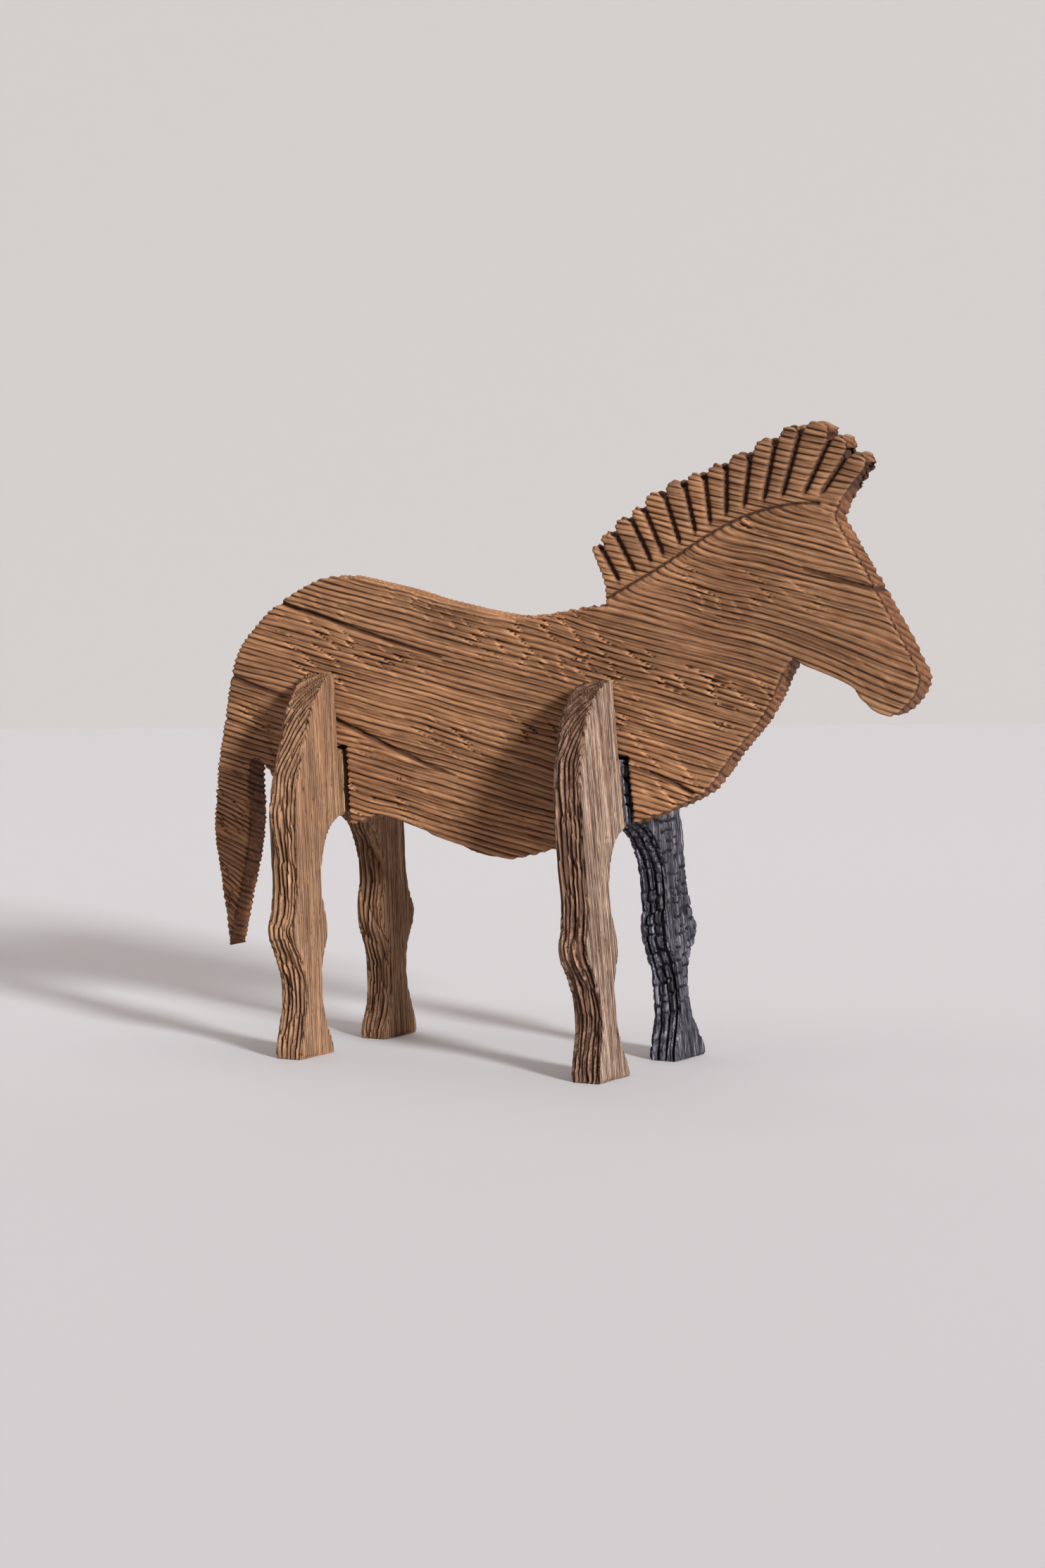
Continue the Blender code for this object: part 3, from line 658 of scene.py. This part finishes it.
def crack_relief(flat, sunk, dark):
    """Long splits, each a sharp cut above a smoother ledge that rises gently below it, with a painted shadow
    along the cut.
    """
    for crack, depth, width in zip(CRACKS, CRACK_DEPTHS, LEDGE_WIDTHS):
        line = smooth_run(body_scale(crack))
        distance, side, place = to_line(flat, line)
        above = side * np.sign(line[-1][0] - line[0][0]) > 0
        strength = (1 - 0.85 * place / run_lengths(line)[-1]) ** 0.7
        strength *= 0.85 + 0.25 * noise(place / 0.011, 0.5, depth * 900, seed=36)
        share = np.clip(1 - distance / (width * (0.5 + 0.5 * strength)), 0, 1)
        ledge = np.where(above, 0, share ** 1.4)
        cliff = np.where(above, bell(distance, 0.0009), 0)
        sunk = sunk * (1 - 0.65 * ease(ledge, 0, 0.25)) + np.maximum(ledge, cliff) * strength * depth
        # Painted shadow along each split, wider below it, under the cut; the grooves' painted shade is
        # lighter on the ledge
        shadow = np.where(above, 0.0010, 0.0011 + 0.0014 * strength)
        dark = dark * (1 - 0.55 * ease(ledge, 0, 0.25))
        dark = np.maximum(dark, bell(distance, shadow) * 1.7 * ease(strength, 0, 0.4))
    return sunk, dark


def body_piece(look):
    grain = math.radians(BODY_GRAIN)
    half = BODY_THICKNESS / 2
    board = Board(body_outline(), BODY_THICKNESS, grain, BODY_PITCH, body_warp, body_spacing)
    mane_line = smooth_run(body_scale(MANE_LINE))
    mane_cut = mane_line[8:-3]
    cracks = [smooth_run(body_scale(crack)) for crack in CRACKS]

    def inside_mane(points):
        distance, side, _ = to_line(points, mane_line)
        return (side > 0) & (points[:, 0] > MANE_START[0]) & (points[:, 1] > MANE_START[1])

    def near_fine(points, rings):
        s, level = rings[:, 0], rings[:, 1]
        along = flakes(level / BODY_PITCH, s, np.full(len(s), -half), BODY_FLAKE, FLAKE_SEED)
        ends = (along < 0.10) | (along > 0.95)
        return inside_mane(points) | (ends & (body_rough(s, level, ROUGH_SEED) > 0.45))

    def nowhere(points, rings):
        return np.zeros(len(points), bool)

    # The splits, the mane line and the mane's grooves are lines of the mesh
    lines = [evenly(crack, 0.0013) for crack in cracks]
    lines.append(evenly(mane_cut, 0.0012))
    for foot, top in mane_grooves()[1:-1]:
        lines.append(evenly(np.array([foot + (top - foot) * 0.12, top + (foot - top) * 0.03]), 0.0011))
    lines = [inside_outline(board, line) for line in lines]
    near = face_mesh(board, -half, (0, 0.14, 0.34, 0.60, 0.86), 0.00110, near_fine, lines)
    far = face_mesh(board, half, (0, 0.22, 0.50, 0.78), 0.00230, nowhere, lines)
    points, normals, triangles, quads, inset = board_mesh(board, body_radius, near, far, BODY_RIM_ROWS)

    flat, depth = points[:, :2], points[:, 2]
    rings = board.ring_place(flat, depth)
    s, level = rings[:, 0], rings[:, 1]
    x, z = flat[:, 0], flat[:, 1]
    across, nearer, inside, tuft = mane_relief(flat)
    mane = inside_mane(flat) & (inside > 0)
    # Below the mane line the rings bend near it
    line_distance, line_side, _ = to_line(flat, mane_cut)
    hook = np.where(line_side < 0, 0.0034 * np.exp(-line_distance / 0.0042), 0)
    phase = (level - hook) / BODY_PITCH
    rough = np.where(mane, 0.0, body_rough(s, level, ROUGH_SEED)) * np.where(inset > 0, 1, 0.4)
    sideways = np.hypot(normals[:, 0], normals[:, 1])
    rim = ease(sideways, 0.55, 0.95)
    sunk, dark, lip_highlight = ring_relief(
        phase, s, depth, BODY_SEED, groove_depth=BODY_GROOVE * (1 + 0.35 * rim),
        flake_depth=BODY_FLAKE_DEPTH, rough=rough, length=BODY_FLAKE, sharp=2.5 - 1.3 * rim,
    )
    sunk *= 1 + 0.2 * noise(x / 0.05, z / 0.05, seed=33)
    # Painted shade in finer grooves on the rim
    dark = np.maximum(dark, 0.5 * (grooves(2 * phase, 2) * rim))

    # Whorls of end grain cross the back's rim, with painted shade in their grooves
    back = rim * ease(normals[:, 1], 0.5, 0.85) * ((z > BACK_LEVEL) & (x < BACK_END) & (x > -0.22))
    whorl = (x + 0.55 * depth + 0.0016 * noise(x / 0.012, depth / 0.006, seed=39)) / 0.0040
    whorl = grooves(whorl, 1.4)
    sunk += 0.0009 * whorl * back
    dark = np.maximum(dark * (1 - 0.5 * back), 0.55 * whorl * back)
    end_grain = np.abs(normals[:, :2] @ board.along) / np.maximum(sideways, 1e-6)

    # The mane's tufts are rounded, with a cut between each two, and painted shade in the cuts and on the
    # tufts' rounded sides
    present = ease(inside, 0.0035, 0.0105)
    pillow = (1 - np.clip(np.sin(np.pi * across), 0, 1) ** 0.7) * present
    groove = bell(nearer, 0.0017) * present
    mane_sunk = 0.0016 * pillow + 0.0036 * groove + 1.15 * sunk
    mane_shade = np.maximum(np.maximum(dark, 1.8 * groove), 0.75 * pillow)
    sunk = np.where(mane, mane_sunk, sunk)
    dark = np.where(mane, mane_shade, dark)

    # A cut along the mane line, with painted shade in it
    line_cut = bell(line_distance, 0.0009)
    sunk = sunk * (1 - 0.5 * line_cut) + 0.0017 * line_cut
    dark = np.maximum(dark, line_cut * 1.3)
    sunk, dark = crack_relief(flat, sunk, dark)
    sunk += 0.00014 * noise(s / 0.006, phase * 3.1, depth / 0.0008, seed=35)
    sunk = np.clip(sunk, 0, BODY_DEEPEST)
    placed = points - normals * sunk[:, None]
    coords = np.column_stack([placed[:, 0], placed[:, 2], placed[:, 1]])
    # Painted highlight on the flakes' lips; the back's rim is lighter
    tone = body_tone(flat) * (1 + 0.26 * lip_highlight + 0.25 * back)
    tone = tone * np.where(mane, 1 + 0.10 * np.sin(tuft * 2.3), 1)
    attributes = {
        # Painted shade in the grooves, cracks and cuts
        "cavity_shade": np.clip(dark, 0, 2),
        "grain": np.column_stack([s, phase * BODY_PITCH, depth]),
        "rim": rim * ease(end_grain, 0.25, 0.6),
        "tone": tone,
    }
    make_object("zebra_body", "body_board", coords, triangles, quads, attributes, look)


def inside_outline(board, line):
    """The points of a line that lie well inside a board's outline."""
    where, distance = nearest(board.tree, line)
    inward = ((line - board.dense[where]) * board.dense_out[where]).sum(1) < 0
    keep = inward & (distance > 0.0006)
    first, last = np.nonzero(keep)[0][[0, -1]]
    return line[first:last + 1]


def body_tone(flat):
    """How bright the body's wood is: paler at the tail, darker at the head and in the back's stain."""
    x, z = flat[:, 0], flat[:, 1]
    tone = 1.0 + 0.12 * noise(x / 0.09, z / 0.05, seed=41) + 0.07 * noise(x / 0.02, z / 0.008, seed=42)
    tail = np.clip((0.19 - z) / 0.08, 0, 1) * np.clip((-0.215 - x) / 0.02, 0, 1)
    stain = np.exp(-((x + 0.078) / 0.016) ** 2 - ((z - 0.303) / 0.016) ** 2)
    return tone * (1 + 0.15 * tail) * (1 - 0.22 * stain) * (1 - 0.12 * ease(x, 0.09, 0.17))


# Leg boards

def leg_piece(name, node, offset, lean, shoulder, far_ankle, warp, charred, seed, look):
    def spacing(points, way):
        burnt = charred & (points[:, 0] > CHAR_START)
        return np.where(burnt, 0.00105, 0.00165)

    outline = leg_outline(shoulder, far_ankle)
    board = Board(outline, LEG_THICKNESS, math.radians(90), LEG_PITCH, warp, spacing)
    half = LEG_THICKNESS / 2

    def fine(points, rings):
        return (points[:, 0] > CHAR_START - 0.004) & charred

    near = face_mesh(board, -half, (0, 0.28, 0.64), 0.0015, fine)
    far = face_mesh(board, half, (0, 0.22, 0.50, 0.78), 0.0011, fine)
    points, normals, triangles, quads, inset = board_mesh(board, leg_radius, near, far, LEG_RIM_ROWS)

    flat, depth = points[:, :2], points[:, 2]
    rings = board.ring_place(flat, depth)
    s, level = rings[:, 0], rings[:, 1]
    y = flat[:, 0]
    reach = np.abs(y)
    edge = ease(np.hypot(normals[:, 0], normals[:, 1]), 0.30, 0.85)

    # The faces have fine straight lines, the edges long bars that climb to the horn; both get painted shade
    # in their grooves
    face_sunk, face_shade, _ = ring_relief(
        level / LEG_PITCH, s, depth, seed, groove_depth=0.0008, flake_depth=0.0005, rough=0.5, length=0.05,
        sharp=1.6, uneven=1.1,
    )
    climb = CLIMB * np.clip(0.066 - reach, 0, 0.05) * ease(s, 0.150, 0.190)
    bars = depth - climb + 0.0022 * noise(s / 0.060, y / 0.05, depth / 0.016, seed=seed + 10)
    bars += 0.0009 * noise(s / 0.021, y / 0.05, depth / 0.007, seed=seed + 11)
    bars_sunk, bars_shade, bars_highlight = ring_relief(
        bars / BAR_PITCH, s, y / 9, seed + 20, groove_depth=0.0024, flake_depth=0.0017, rough=0.85,
        length=0.048, sharp=1.5, uneven=0.7,
    )
    sunk = face_sunk * (1 - edge) + bars_sunk * edge
    chips = ease(noise(s / 0.013, y / 0.05, depth / 0.006, seed=seed + 12), -0.1, 0.2)
    sunk += 0.0015 * edge * chips * (1 - 0.8 * ease(s, 0.175, 0.200))
    dark = face_shade * (1 - edge) + bars_shade * edge

    char = np.zeros(len(flat))
    if charred:
        sunk, dark = arch_relief(y, depth, s, inset, sunk, dark)
        char = (y - CHAR_START) / 0.004
        char += 0.8 * noise(s / 0.012, y / 0.002, depth / 0.006, seed=61)
        char = np.clip(char, 0, 1)
        cell_sunk, cell_shade = char_relief(y, depth, s, edge)
        sunk = sunk * (1 - 0.55 * char) + cell_sunk * char
        dark = dark * (1 - 0.5 * char)
        dark = np.maximum(dark, cell_shade * char)
    else:
        # Dents, with painted shade in each
        for across, height, size in DENTS:
            away = np.hypot(y - across, (flat[:, 1] - height) * 0.8)
            mark = bell(away, size) * (depth > 0)
            sunk = sunk + 0.0013 * mark
            dark = np.maximum(dark, 1.3 * mark)
    sunk += 0.00010 * noise(s / 0.004, level / 0.0006, depth / 0.0009, seed=seed + 6)

    # The hooves' undersides stay flat, and the horns' inner tips are worn round
    underside = (s < 0.003) & (normals[:, 1] < -0.5)
    sunk = np.where(underside, 0, np.clip(sunk, 0, LEG_DEEPEST))
    placed = points - normals * sunk[:, None]
    tip = 1 - np.clip((reach - BODY_THICKNESS / 2) / 0.006, 0, 1)
    placed[:, 1] -= 0.003 * tip ** 2 * ease(s, HORN_TOP - 0.012, HORN_TOP)

    # The board leans, and its hooves are cut level with the ground
    tilt = math.tan(math.radians(lean))
    low = np.clip(1 - placed[:, 1] / 0.03, 0, 1)
    placed[:, 1] -= placed[:, 2] * tilt * low
    place = Matrix.Translation((offset - STANCE_SETBACK, 0, 0)) @ Matrix.Rotation(-math.radians(lean), 4, "Y")
    local = np.column_stack([placed[:, 2], placed[:, 0], placed[:, 1], np.ones(len(placed))])
    coords = (local @ np.array(place).T)[:, :3]
    tone = 1.0 + 0.13 * noise(y / 0.012, s / 0.08, depth / 0.02, seed=seed + 7)
    # Painted highlight on the lips of the bars' flakes
    tone = tone * (1 + 0.20 * bars_highlight * edge)
    tone = tone * (1 - char * (0.65 * edge + 0.30 * (1 - ease(s, 0.02, 0.06))))
    attributes = {
        # Painted shade in the grooves, cracks and cuts
        "cavity_shade": np.clip(dark, 0, 2),
        "grain": np.column_stack([s, level, depth]),
        "rim": edge,
        "char": char,
        "tone": tone,
    }
    make_object(name, node, coords, triangles, quads, attributes, look)


def leg_radius(points, out, side):
    uneven = noise(points[:, 0] / 0.01, points[:, 1] / 0.025, side * 3.0, seed=71)
    return np.clip(0.0023 + 0.0008 * uneven, 0.0012, 0.0032)


def arch_relief(y, depth, s, inset, sunk, dark):
    """Nested pointed arches where rings run out at the corner of the near front leg, with painted shade in
    their grooves.
    """
    away = np.where(inset > 0, inset, LEG_THICKNESS / 2 - depth)
    arch = (away * 1.3 + 0.36 * s + 0.0005 * noise(s / 0.008, away / 0.003, seed=75)) / 0.0025
    groove = grooves(arch, 1.8)
    share = np.exp(-(away / 0.0062) ** 4) * ease(s, 0.188, 0.205) * (1 - ease(s, 0.240, 0.252))
    share = share * (y < -0.05) * (depth > -LEG_THICKNESS / 4)
    return sunk * (1 - share) + 0.0009 * groove * share, dark * (1 - share) + groove * share


def char_relief(y, depth, s, edge):
    """The cracked cells of char: how deep each point lies, and the painted shade in the cracks and round the
    cells' edges.
    """
    sunk = np.zeros(len(s))
    dark = np.zeros(len(s))
    for across, width, share, seed in ((depth, 0.0062, edge, 62), (y, 0.0080, 1 - edge, 66)):
        column = across / width + 0.30 * noise(s / 0.022, across / 0.02, seed=seed)
        column = column + 0.10 * noise(s / 0.006, 2.0, seed=seed)
        index = np.floor(column)
        cells = np.stack([index, index * 0, index * 0], 1).astype(np.int64)
        row = s / CELL_HEIGHT + hashed(cells, seed + 1) * 7
        row = row + 0.55 * noise(s / 0.012, index * 2.7, seed=seed + 2)
        row = row + 0.35 * (column - index) * (hashed(cells, seed + 3) - 0.5)
        to_column = np.minimum(column - index, 1 - (column - index)) * width
        to_row = np.minimum(row - np.floor(row), 1 - (row - np.floor(row))) * CELL_HEIGHT
        crossing = 0.8 + 0.2 * edge + 0.9 * noise(s / 0.03, across / 0.014, seed=seed + 5)
        crossing = ease(s, 0.022, 0.040) * np.clip(crossing, 0, 1)
        crack = np.maximum(bell(to_column, 0.00095), bell(to_row, 0.00085) * crossing)
        pillow = np.exp(-np.minimum(to_column, to_row + 0.01 * (1 - crossing)) / 0.0014)
        cells = np.stack([index, np.floor(row), index * 0], 1).astype(np.int64)
        lift = hashed(cells, seed + 4) * crossing
        deep = 0.0019 * crack + 0.0010 * pillow + (0.0008 + 0.0012 * edge) * lift
        sunk += share * deep * (0.8 + 0.2 * edge)
        # Painted shade in the cracks and round each cell's edge
        dark += share * np.maximum(crack * 1.4, 0.35 * pillow)
    return sunk, dark


def leg_warp(long_wave, short_wave, seed):
    """The warp of a leg board's rings, from the height and length of its long and short waves."""
    def warp(s, t, depth):
        wave = long_wave[0] * noise(s / long_wave[1], t / 0.014, depth / 0.02, seed=seed)
        wave = wave + short_wave[0] * noise(s / short_wave[1], t / 0.008, seed=seed + 1)
        return wave + 0.3 * depth

    return warp


# Looks

def fed(links, node, values):
    """Sets a node's inputs to values, or links them to other sockets."""
    for label, value in values.items():
        if isinstance(value, bpy.types.NodeSocket):
            links.new(value, node.inputs[label])
        else:
            node.inputs[label].default_value = value


def ramp(nodes, links, value, stops):
    made = nodes.new("ShaderNodeValToRGB")
    elements = made.color_ramp.elements
    while len(elements) < len(stops):
        elements.new(0.5)
    for element, (place, colour) in zip(elements, stops):
        element.position = place
        element.color = (*colour, 1)
    fed(links, made, {"Fac": value})
    return made.outputs["Color"]


def texture(nodes, links, coordinate, scale, detail=3.0, roughness=0.55):
    """A noise stretched by a scale along the grain, across the rings and through the board."""
    mapping = nodes.new("ShaderNodeMapping")
    fed(links, mapping, {"Scale": scale, "Vector": coordinate})
    made = nodes.new("ShaderNodeTexNoise")
    place = mapping.outputs["Vector"]
    fed(links, made, {"Vector": place, "Scale": 1.0, "Detail": detail, "Roughness": roughness})
    return made.outputs["Fac"]


def mixed(nodes, links, kind, share, first, second):
    made = nodes.new("ShaderNodeMix")
    made.data_type = "RGBA"
    made.blend_type = kind
    fed(links, made, {"Factor": share, "A": first, "B": second})
    return made.outputs["Result"]


def sums(nodes, links, operation, first, second):
    made = nodes.new("ShaderNodeMath")
    made.operation = operation
    fed(links, made, {0: first, 1: second})
    return made.outputs["Value"]


def ranged(nodes, links, value, low, high):
    """A noise's usual values from 0.25 to 0.75, as values from low to high."""
    made = nodes.new("ShaderNodeMapRange")
    fed(links, made, {"Value": value, "From Min": 0.25, "From Max": 0.75, "To Min": low, "To Max": high})
    return made.outputs["Result"]


def named(nodes, label, output="Fac"):
    """One of the mesh's own attributes."""
    made = nodes.new("ShaderNodeAttribute")
    made.attribute_type = "GEOMETRY"
    made.attribute_name = label
    return made.outputs[output]


def wood(name, pale, mid, dark, deep, rim_tint, charred=False):
    """Weathered wood: fibres, streaks, patches, painted shade in the grooves in the deep colour, tinted edges
    and, where burnt, char.
    """
    made = bpy.data.materials.new(name)
    made.use_nodes = True
    nodes, links = made.node_tree.nodes, made.node_tree.links
    grain = named(nodes, "grain", "Vector")
    fibre = texture(nodes, links, grain, (90, 1900, 1900), 4, 0.65)
    streak = texture(nodes, links, grain, (14, 330, 330), 3, 0.6)
    patch = texture(nodes, links, grain, (18, 40, 40), 3, 0.6)
    speck = texture(nodes, links, grain, (900, 1500, 1500), 2)
    half_fibre = sums(nodes, links, "MULTIPLY", fibre, 0.5)
    half_streak = sums(nodes, links, "MULTIPLY", streak, 0.5)
    blend = sums(nodes, links, "ADD", half_fibre, half_streak)
    tint = ramp(nodes, links, blend, ((0.36, dark), (0.48, mid), (0.61, pale)))
    patches = ramp(nodes, links, patch, ((0.3, (0.80, 0.75, 0.72)), (0.7, (1.12, 1.12, 1.10))))
    colour = mixed(nodes, links, "MULTIPLY", 1.0, tint, patches)
    colour = mixed(nodes, links, "MULTIPLY", named(nodes, "rim"), colour, (*rim_tint, 1))
    # Painted shade: the colour goes towards the deep colour in the grooves, cracks and cuts
    shade = ramp(nodes, links, named(nodes, "cavity_shade"), ((0.14, (0, 0, 0)), (0.80, (0.88, 0.88, 0.88))))
    colour = mixed(nodes, links, "MIX", shade, colour, (*deep, 1))
    colour = mixed(nodes, links, "MULTIPLY", 1.0, colour, named(nodes, "tone", "Vector"))
    roughness = ranged(nodes, links, fibre, 0.58, 0.85)
    if charred:
        # The palest char colour is partly the char's own grey and partly painted sheen
        black, grey, pale_and_sheen = (0.006, 0.005, 0.007), (0.040, 0.036, 0.047), (0.300, 0.280, 0.345)
        coal = ramp(nodes, links, blend, ((0.36, black), (0.50, grey), (0.62, pale_and_sheen)))
        # Painted shade: the char goes near black in its cracks and grooves
        coal_and_shade = mixed(nodes, links, "MIX", shade, coal, (0.004, 0.004, 0.005, 1))
        burnt = ramp(nodes, links, named(nodes, "char"), ((0.25, (0, 0, 0)), (0.6, (1, 1, 1))))
        colour = mixed(nodes, links, "MIX", burnt, colour, coal_and_shade)
        pick = nodes.new("ShaderNodeMix")
        fed(links, pick, {"Factor": burnt, "A": roughness, "B": ranged(nodes, links, streak, 0.28, 0.56)})
        roughness = pick.outputs["Result"]
    bump = nodes.new("ShaderNodeBump")
    height = sums(nodes, links, "ADD", fibre, sums(nodes, links, "MULTIPLY", speck, 0.35))
    fed(links, bump, {"Strength": 0.6, "Distance": 0.0005, "Height": height})
    fed(links, nodes["Principled BSDF"], {
        "Base Color": colour,
        "Roughness": roughness,
        "Specular IOR Level": 0.22 if charred else 0.35,
        "Normal": bump.outputs["Normal"],
    })
    return made


def plain(name, colour, roughness):
    made = bpy.data.materials.new(name)
    made.use_nodes = True
    tree = made.node_tree
    fed(tree.links, tree.nodes["Principled BSDF"], {"Base Color": (*colour, 1), "Roughness": roughness})
    return made


def sun(name, towards, spread, strength, colour):
    """An even light from one direction, soft by its spread in degrees."""
    lamp = bpy.data.lights.new(name, "SUN")
    lamp.angle = math.radians(spread)
    lamp.energy = strength
    lamp.color = colour
    made = bpy.data.objects.new(name, lamp)
    made.location = towards
    made.rotation_mode = "QUATERNION"
    made.rotation_quaternion = (-Vector(towards)).to_track_quat("-Z", "Y")
    bpy.context.scene.collection.objects.link(made)


def setting():
    """A pale floor and a wall well behind it, the lights and the camera."""
    away = Vector(AWAY).normalized()
    right = Vector((away.y, -away.x, 0))
    verts = []
    for reach, height in ((-FLOOR_REACH, 0.0), (WALL_DISTANCE, 0.0), (WALL_DISTANCE, WALL_HEIGHT)):
        for side in (-FLOOR_REACH, FLOOR_REACH):
            verts.append(away * reach + right * side + Vector((0, 0, height)))
    mesh = bpy.data.meshes.new("floor_and_wall")
    mesh.from_pydata(verts, [], [(0, 1, 3, 2), (2, 3, 5, 4)])
    mesh.materials.append(plain("pale_floor", (0.625, 0.622, 0.640), 0.8))
    # The wall's colour is darker than the floor's: painted shade on the wall
    mesh.materials.append(plain("shaded_wall", (0.415, 0.394, 0.382), 0.8))
    mesh.polygons[1].material_index = 1
    floor = bpy.data.objects.new("floor_and_wall", mesh)
    bpy.context.scene.collection.objects.link(floor)

    sun("key", (2.60, -1.37, 1.03), spread=8.4, strength=4.3, colour=(1.0, 1.02, 1.03))
    sun("top", (0.1, -0.1, 2.7), spread=80, strength=1.5, colour=(1.0, 0.90, 0.87))
    world = bpy.data.worlds.new("room")
    world.use_nodes = True
    world.node_tree.nodes["Background"].inputs["Color"].default_value = (1.0, 0.79, 0.68, 1)
    world.node_tree.nodes["Background"].inputs["Strength"].default_value = 0.04
    bpy.context.scene.world = world

    camera = bpy.data.cameras.new("camera")
    camera.sensor_width = SENSOR
    camera.lens = FOCAL_LENGTH / PHOTO_HEIGHT * SENSOR
    made = bpy.data.objects.new("camera", camera)
    turn, pitch, roll = (math.radians(angle) for angle in (CAMERA_TURN, CAMERA_PITCH, CAMERA_ROLL))
    made.matrix_world = (
        Matrix.Translation(CAMERA_PLACE) @ Matrix.Rotation(turn, 4, "Z")
        @ Matrix.Rotation(math.pi / 2 - pitch, 4, "X") @ Matrix.Rotation(roll, 4, "Z")
    )
    bpy.context.scene.collection.objects.link(made)
    bpy.context.scene.camera = made
    bpy.context.scene.view_settings.view_transform = "Standard"


setting()
body_wood = wood(
    "body_wood", pale=(0.53, 0.281, 0.142), mid=(0.365, 0.178, 0.084), dark=(0.21, 0.091, 0.040),
    deep=(0.048, 0.0155, 0.0055), rim_tint=(0.76, 0.64, 0.56),
)
hind_wood = wood(
    "hind_leg_wood", pale=(0.445, 0.262, 0.150), mid=(0.288, 0.154, 0.082), dark=(0.140, 0.070, 0.035),
    deep=(0.045, 0.017, 0.007), rim_tint=(1.0, 0.97, 0.94),
)
front_wood = wood(
    "front_leg_wood", pale=(0.54, 0.400, 0.312), mid=(0.240, 0.152, 0.108), dark=(0.062, 0.033, 0.022),
    deep=(0.020, 0.008, 0.005), rim_tint=(0.68, 0.55, 0.47), charred=True,
)
body_piece(body_wood)
leg_piece(
    "zebra_hind_legs", "hind_leg_board", offset=-LEG_SPACING / 2, lean=HIND_LEAN,
    shoulder=HIND_SHOULDER, far_ankle=1, warp=leg_warp((0.0007, 0.090), (0.0003, 0.030), seed=51),
    charred=False, seed=HIND_SEED, look=hind_wood,
)
leg_piece(
    "zebra_front_legs", "front_leg_board", offset=LEG_SPACING / 2, lean=FRONT_LEAN,
    shoulder=FRONT_SHOULDER, far_ankle=CHARRED_ANKLE,
    warp=leg_warp((0.0009, 0.080), (0.0004, 0.025), seed=54), charred=True, seed=FRONT_SEED, look=front_wood,
)
